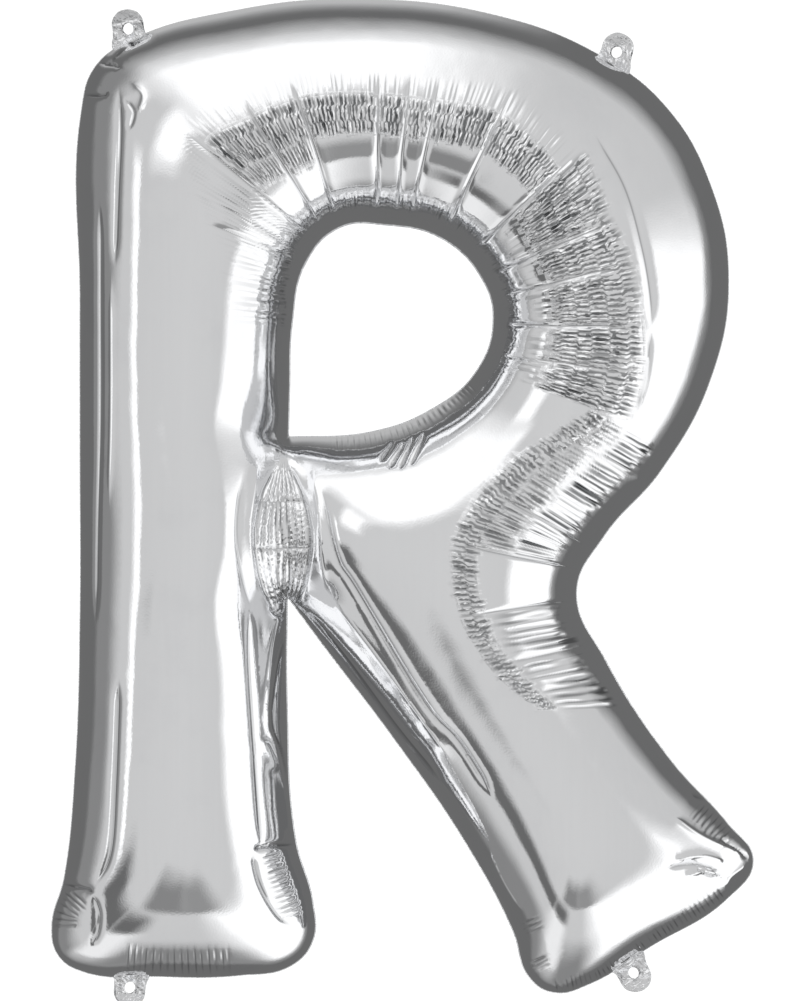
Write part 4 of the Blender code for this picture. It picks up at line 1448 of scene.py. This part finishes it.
def foil_material(name, foil, finish):
    """Metallised film: the wear and painted shade group and the relief one, with this piece's own values."""
    material = bpy.data.materials.new(name)
    material.use_nodes = True
    tree = material.node_tree
    shader = tree.nodes["Principled BSDF"]
    shader.inputs["Metallic"].default_value = 1.0
    place = add_node(tree, "ShaderNodeTexCoord").outputs["Object"]
    look = tree.nodes.new("ShaderNodeGroup")
    look.node_tree = bpy.data.node_groups["film_wear_and_shade"]
    form = tree.nodes.new("ShaderNodeGroup")
    form.node_tree = bpy.data.node_groups["film_relief"]
    # Fold is the colour of the painted shade in folds and dashes.
    values = {
        "Bright": (*foil.bright, 1), "Dull": (*(finish.dull * part for part in foil.dull), 1),
        "Fold": (*PAINTED_SHADE_COLOUR, 1), "Gloss": foil.gloss + finish.gloss, "Handled": finish.handled,
    }
    for label, value in values.items():
        look.inputs[label].default_value = value
    for label, (size, height) in finish.relief.items():
        form.inputs[label + " size"].default_value = size
        form.inputs[label + " height"].default_value = height
    for node in (look, form):
        tree.links.new(place, node.inputs["Coordinates"])
    height = form.outputs["Height"]
    if finish.gathered:
        dark, facets = dash_shade_and_facets(tree)
        # Painted shade: the film's shade attribute and the dark dashes set where the fold colour is laid on.
        shade_mask = add_node(tree, "ShaderNodeAttribute", attribute_name="painted_shade").outputs["Fac"]
        tree.links.new(maths(tree, "MAXIMUM", shade_mask, dark), look.inputs["Painted shade"])
        height = maths(tree, "ADD", height, facets)
    if finish.ticks:
        run = add_node(tree, "ShaderNodeAttribute", attribute_name="along").outputs["Fac"]
        wave = maths(tree, "SINE", maths(tree, "MULTIPLY", run, math.tau / TICK_PITCH))
        height = maths(tree, "ADD", height, maths(tree, "MULTIPLY", wave, finish.ticks))
    bump = add_node(tree, "ShaderNodeBump", {"Height": height, "Distance": 1.0, "Strength": 1.0})
    tree.links.new(look.outputs["Color"], shader.inputs["Base Color"])
    tree.links.new(look.outputs["Roughness"], shader.inputs["Roughness"])
    tree.links.new(bump.outputs["Normal"], shader.inputs["Normal"])
    return material


def piece(name, mesh, material, slot, *nodes):
    """A finished piece on the balloon's one body, in place of CAD nodes."""
    thing = bpy.data.objects.new(name, mesh)
    bpy.context.scene.collection.objects.link(thing)
    mesh.materials.clear()
    mesh.materials.append(material)
    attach(thing, "root")
    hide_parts(*nodes)
    return thing


def studio_light():
    """A plain sweep of light with soft boxes, seen only in the foil: the camera sees white."""
    world = bpy.data.worlds.new("studio")
    bpy.context.scene.world = world
    world.use_nodes = True
    tree = world.node_tree
    tree.nodes.clear()
    place = add_node(tree, "ShaderNodeTexCoord").outputs["Generated"]
    way = add_node(tree, "ShaderNodeSeparateXYZ", {0: place})
    towards = maths(tree, "MULTIPLY", way.outputs["Y"], -1.0)
    angle = maths(tree, "DIVIDE", maths(tree, "ARCCOSINE", towards), math.pi)
    turn = maths(tree, "ARCTAN2", way.outputs["X"], way.outputs["Z"])
    turn = maths(tree, "FLOORED_MODULO", turn, math.tau)
    sweep = add_node(tree, "ShaderNodeValToRGB", {0: angle})
    elements = sweep.color_ramp.elements
    while len(elements) < len(SWEEP):
        elements.new(1.0)
    for element, (stop, level) in zip(elements, SWEEP):
        element.position = stop / 180
        element.color = (level, level, level, 1)
    total = sweep.outputs[0]
    for (turn_low, turn_high, turn_soft), (low, high, low_soft, high_soft), level in CARDS:
        mask = None
        edges = (
            (turn, turn_low, turn_soft / 2, math.radians(1)),
            (turn, turn_high, -turn_soft / 2, math.radians(1)),
            (angle, low, low_soft / 2, 1 / 180),
            (angle, high, -high_soft / 2, 1 / 180),
        )
        for value, edge, soft, scale in edges:
            part = smooth_step(tree, value, (edge - soft) * scale, (edge + soft) * scale)
            mask = part if mask is None else maths(tree, "MULTIPLY", mask, part)
        change = maths(tree, "MULTIPLY", mask, maths(tree, "SUBTRACT", level, total))
        total = maths(tree, "ADD", total, change)
    camera_ray = add_node(tree, "ShaderNodeLightPath").outputs["Is Camera Ray"]
    to_white = maths(tree, "SUBTRACT", 1.0, total)
    white = maths(tree, "ADD", total, maths(tree, "MULTIPLY", camera_ray, to_white))
    over = maths(tree, "MAXIMUM", maths(tree, "SUBTRACT", white, WHITE_FROM), 0.0)
    white = maths(tree, "ADD", white, maths(tree, "MULTIPLY", over, WHITE_LIFT))
    background = add_node(tree, "ShaderNodeBackground", {"Color": white})
    output = tree.nodes.new("ShaderNodeOutputWorld")
    tree.links.new(background.outputs[0], output.inputs[0])


def length_setting(name, description, default, low, high):
    """A setting of the add-on that is a length in metres."""
    return bpy.props.FloatProperty(
        name=name, description=description, default=default, min=low, max=high,
        subtype="DISTANCE", unit="LENGTH", precision=4)


class FilmSettings(bpy.types.PropertyGroup):
    """Sizes of the two films."""

    roundness: bpy.props.FloatProperty(
        name="Roundness", description="Depth of a straight stretch over its width",
        default=0.95, min=0.5, max=1.0, subtype="FACTOR")
    pleat_strength: bpy.props.FloatProperty(
        name="Pleats", description="Depth of the fine pleats, where 1 is as gathered in the photograph",
        default=1.0, min=0.0, max=2.0)
    crease_depth: length_setting(
        "Crease depth", "Depth of the creases that cross the gathered film", 1.0 * MM, 0.0, 3 * MM)
    front_seed: bpy.props.IntProperty(
        name="Front seed", description="Seed of the front film's uneven pleats", default=11)
    back_seed: bpy.props.IntProperty(
        name="Back seed", description="Seed of the back film's uneven pleats", default=23)


class BorderSettings(bpy.types.PropertyGroup):
    """Sizes of the welded borders."""

    thickness: length_setting(
        "Thickness", "Thickness of the two welded layers", 0.5 * MM, 0.1 * MM, 1.2 * MM)
    ruffle: length_setting(
        "Ruffle", "How far the cut edge sways off the seam plane", 0.9 * MM, 0.0, 2 * MM)
    pitch: length_setting(
        "Pitch", "Distance from one ruffle to the next", 5 * MM, 2 * MM, 20 * MM)


class TabSettings(bpy.types.PropertyGroup):
    """Sizes of the hanging tabs."""

    leaf_thickness: length_setting(
        "Leaf thickness", "Thickness of one of a tab's two layers", 0.2 * MM, 0.05 * MM, 0.5 * MM)
    crumple: length_setting(
        "Crumple", "Height of the creases in the tabs", 2.4 * MM, 0.0, 4 * MM)
    spread: length_setting(
        "Spread", "How far each layer stands off the other at the tip", 0.5 * MM, 0.0, 3 * MM)


class NeckSettings(bpy.types.PropertyGroup):
    """Sizes of the filling neck."""

    length: length_setting(
        "Length", "Length of the sleeve past the letter's edge", 45 * MM, 20 * MM, 80 * MM)
    mouth: length_setting(
        "Mouth", "How far the mouth gapes", 2.4 * MM, 0.0, 8 * MM)
    wrinkle: length_setting(
        "Wrinkle", "Height of the wrinkles along the sleeve", 0.9 * MM, 0.0, 3 * MM)


class FoilSettings(bpy.types.PropertyGroup):
    """Colours and gloss of the foil."""

    bright: bpy.props.FloatVectorProperty(
        name="Bright", description="The foil's colour where it is clean",
        default=(0.93, 0.935, 0.945), size=3, min=0.0, max=1.0, subtype="COLOR")
    dull: bpy.props.FloatVectorProperty(
        name="Dull", description="The foil's colour where it is handled",
        default=(0.88, 0.885, 0.90), size=3, min=0.0, max=1.0, subtype="COLOR")
    gloss: bpy.props.FloatProperty(
        name="Roughness", description="Roughness of the clean film",
        default=0.02, min=0.0, max=0.5, subtype="FACTOR")


class StudioSettings(bpy.types.PropertyGroup):
    """The camera and the floor."""

    distance: length_setting(
        "Camera distance", "Distance from the camera to the seam plane", 8.0, 1.0, 20.0)
    view_height: length_setting(
        "View height", "Height of the picture at the seam plane", 0.8165, 0.1, 3.0)
    floor_drop: length_setting(
        "Floor drop", "Height of the origin over the floor", 1.3, 0.85, 3.0)
    floor_radius: length_setting(
        "Floor radius", "Radius of the pale floor", 3.0, 1.0, 10.0)


class BALLOON_OT_foil(bpy.types.Operator):
    """Make the foil's materials"""

    bl_idname = "balloon.make_foil"
    bl_label = "Make the foil"

    def execute(self, context):
        foil = context.scene.balloon_foil
        relief_group()
        wear_and_shade_group()
        for name, finish in FINISHES.items():
            foil_material(name, foil, finish)
        return {"FINISHED"}


class BALLOON_OT_films(bpy.types.Operator):
    """Make the front and back films with their pleats and folds"""

    bl_idname = "balloon.make_films"
    bl_label = "Make the films"

    def execute(self, context):
        settings = context.scene.balloon_film
        silver = bpy.data.materials["film_silver"]
        plan = FilmPlan(settings.roundness)
        if len(plan.triangles) >= FACE_LIMIT:
            raise RuntimeError("a film has too many triangles")
        films = (("front_film", -1, settings.front_seed), ("back_film", 1, settings.back_seed))
        for node, side, seed in films:
            name = node + "_skin"
            piece(name, film_mesh(name, plan, settings, side, seed), silver, "film", node)
        return {"FINISHED"}


class BALLOON_OT_borders(bpy.types.Operator):
    """Make the welded borders round the outside and round the counter"""

    bl_idname = "balloon.make_borders"
    bl_label = "Make the borders"

    def execute(self, context):
        settings = context.scene.balloon_border
        tree = border_tree()
        silver = bpy.data.materials["weld_silver"]
        for node, anchors, side in (("outer_seam", OUTLINE, 1), ("counter_seam", COUNTER, -1)):
            values = {
                "Step": BORDER_STEP, "Width": SEAM_WIDTH + BORDER_TUCK, "Thickness": settings.thickness,
                "Weld at": float(side > 0), "Ruffle": settings.ruffle, "Pitch": settings.pitch,
                "Seed": BORDER_SEED + side, "Material": silver,
            }
            middle = beside_edge(anchors, side * (SEAM_WIDTH + BORDER_TUCK) / 2)
            name = node + "_border"
            piece(name, border_mesh(name, tree, middle, values), silver, "seam", node)
        bpy.data.node_groups.remove(tree)
        return {"FINISHED"}


class BALLOON_OT_tabs(bpy.types.Operator):
    """Make the four hanging tabs with their punched holes"""

    bl_idname = "balloon.make_tabs"
    bl_label = "Make the tabs"

    def execute(self, context):
        settings = context.scene.balloon_tab
        silver = bpy.data.materials["tab_silver"]
        for number, (node, place) in enumerate(TABS.items()):
            leaves = [tab_leaf(*place, side, settings, TAB_SEED + 4 * number + side) for side in (-1, 1)]
            name = node + "_leaves"
            piece(name, mesh_of(name, leaves), silver, "tab", node)
        return {"FINISHED"}


class BALLOON_OT_neck(bpy.types.Operator):
    """Make the filling neck"""

    bl_idname = "balloon.make_neck"
    bl_label = "Make the neck"

    def execute(self, context):
        wall = neck_wall(context.scene.balloon_neck, NECK_SEED)
        mesh = mesh_of("filling_neck_sleeve", [wall])
        neck = piece("filling_neck_sleeve", mesh, bpy.data.materials["neck_silver"], "neck", "filling_neck")
        neck.visible_glossy = False
        return {"FINISHED"}


class BALLOON_OT_studio(bpy.types.Operator):
    """Set up the floor, the soft light and the camera"""

    bl_idname = "balloon.set_studio"
    bl_label = "Set up the studio"

    def execute(self, context):
        settings = context.scene.balloon_studio
        scene = context.scene
        scene.view_settings.view_transform = "Standard"
        camera = bpy.data.cameras.new("camera")
        camera.lens = camera.sensor_width * settings.distance / settings.view_height
        camera.clip_end = 100
        eye = bpy.data.objects.new("camera", camera)
        eye.location = (VIEW_CENTRE[0], -settings.distance, VIEW_CENTRE[1])
        eye.rotation_euler = (math.pi / 2, 0, 0)
        scene.collection.objects.link(eye)
        scene.camera = eye
        bpy.ops.mesh.primitive_circle_add(
            vertices=FLOOR_CORNERS, radius=settings.floor_radius, fill_type="NGON",
            location=(0, 0, -settings.floor_drop))
        floor = context.object
        floor.name = "floor"
        floor.visible_glossy = False
        pale = bpy.data.materials.new("pale_floor")
        pale.use_nodes = True
        pale.node_tree.nodes["Principled BSDF"].inputs["Base Color"].default_value = FLOOR_COLOUR
        floor.data.materials.append(pale)
        studio_light()
        return {"FINISHED"}


STEPS = (
    BALLOON_OT_foil, BALLOON_OT_films, BALLOON_OT_borders,
    BALLOON_OT_tabs, BALLOON_OT_neck, BALLOON_OT_studio,
)
SETTINGS = {
    "balloon_film": FilmSettings, "balloon_border": BorderSettings, "balloon_tab": TabSettings,
    "balloon_neck": NeckSettings, "balloon_foil": FoilSettings, "balloon_studio": StudioSettings,
}


class BALLOON_PT_letter(bpy.types.Panel):
    """The balloon's sizes and the steps that make it"""

    bl_idname = "BALLOON_PT_letter"
    bl_label = "Letter foil balloon"
    bl_space_type = "VIEW_3D"
    bl_region_type = "UI"
    bl_category = "Balloon"

    def draw(self, context):
        for attribute, kind in SETTINGS.items():
            box = self.layout.box()
            for name in kind.__annotations__:
                box.prop(getattr(context.scene, attribute), name)
        for step in STEPS:
            self.layout.operator(step.bl_idname)


def register():
    """Add the settings, the steps and the panel to Blender."""
    for kind in (*SETTINGS.values(), *STEPS, BALLOON_PT_letter):
        bpy.utils.register_class(kind)
    for attribute, kind in SETTINGS.items():
        setattr(bpy.types.Scene, attribute, bpy.props.PointerProperty(type=kind))


def unregister():
    """Take them out again."""
    for attribute in SETTINGS:
        delattr(bpy.types.Scene, attribute)
    for kind in (BALLOON_PT_letter, *reversed(STEPS), *reversed(SETTINGS.values())):
        bpy.utils.unregister_class(kind)


def main():
    """Make every piece and the studio."""
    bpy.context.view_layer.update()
    register()
    bpy.ops.balloon.make_foil()
    bpy.ops.balloon.make_films()
    bpy.ops.balloon.make_borders()
    bpy.ops.balloon.make_tabs()
    bpy.ops.balloon.make_neck()
    bpy.ops.balloon.set_studio()


if __name__ == "__main__":
    main()
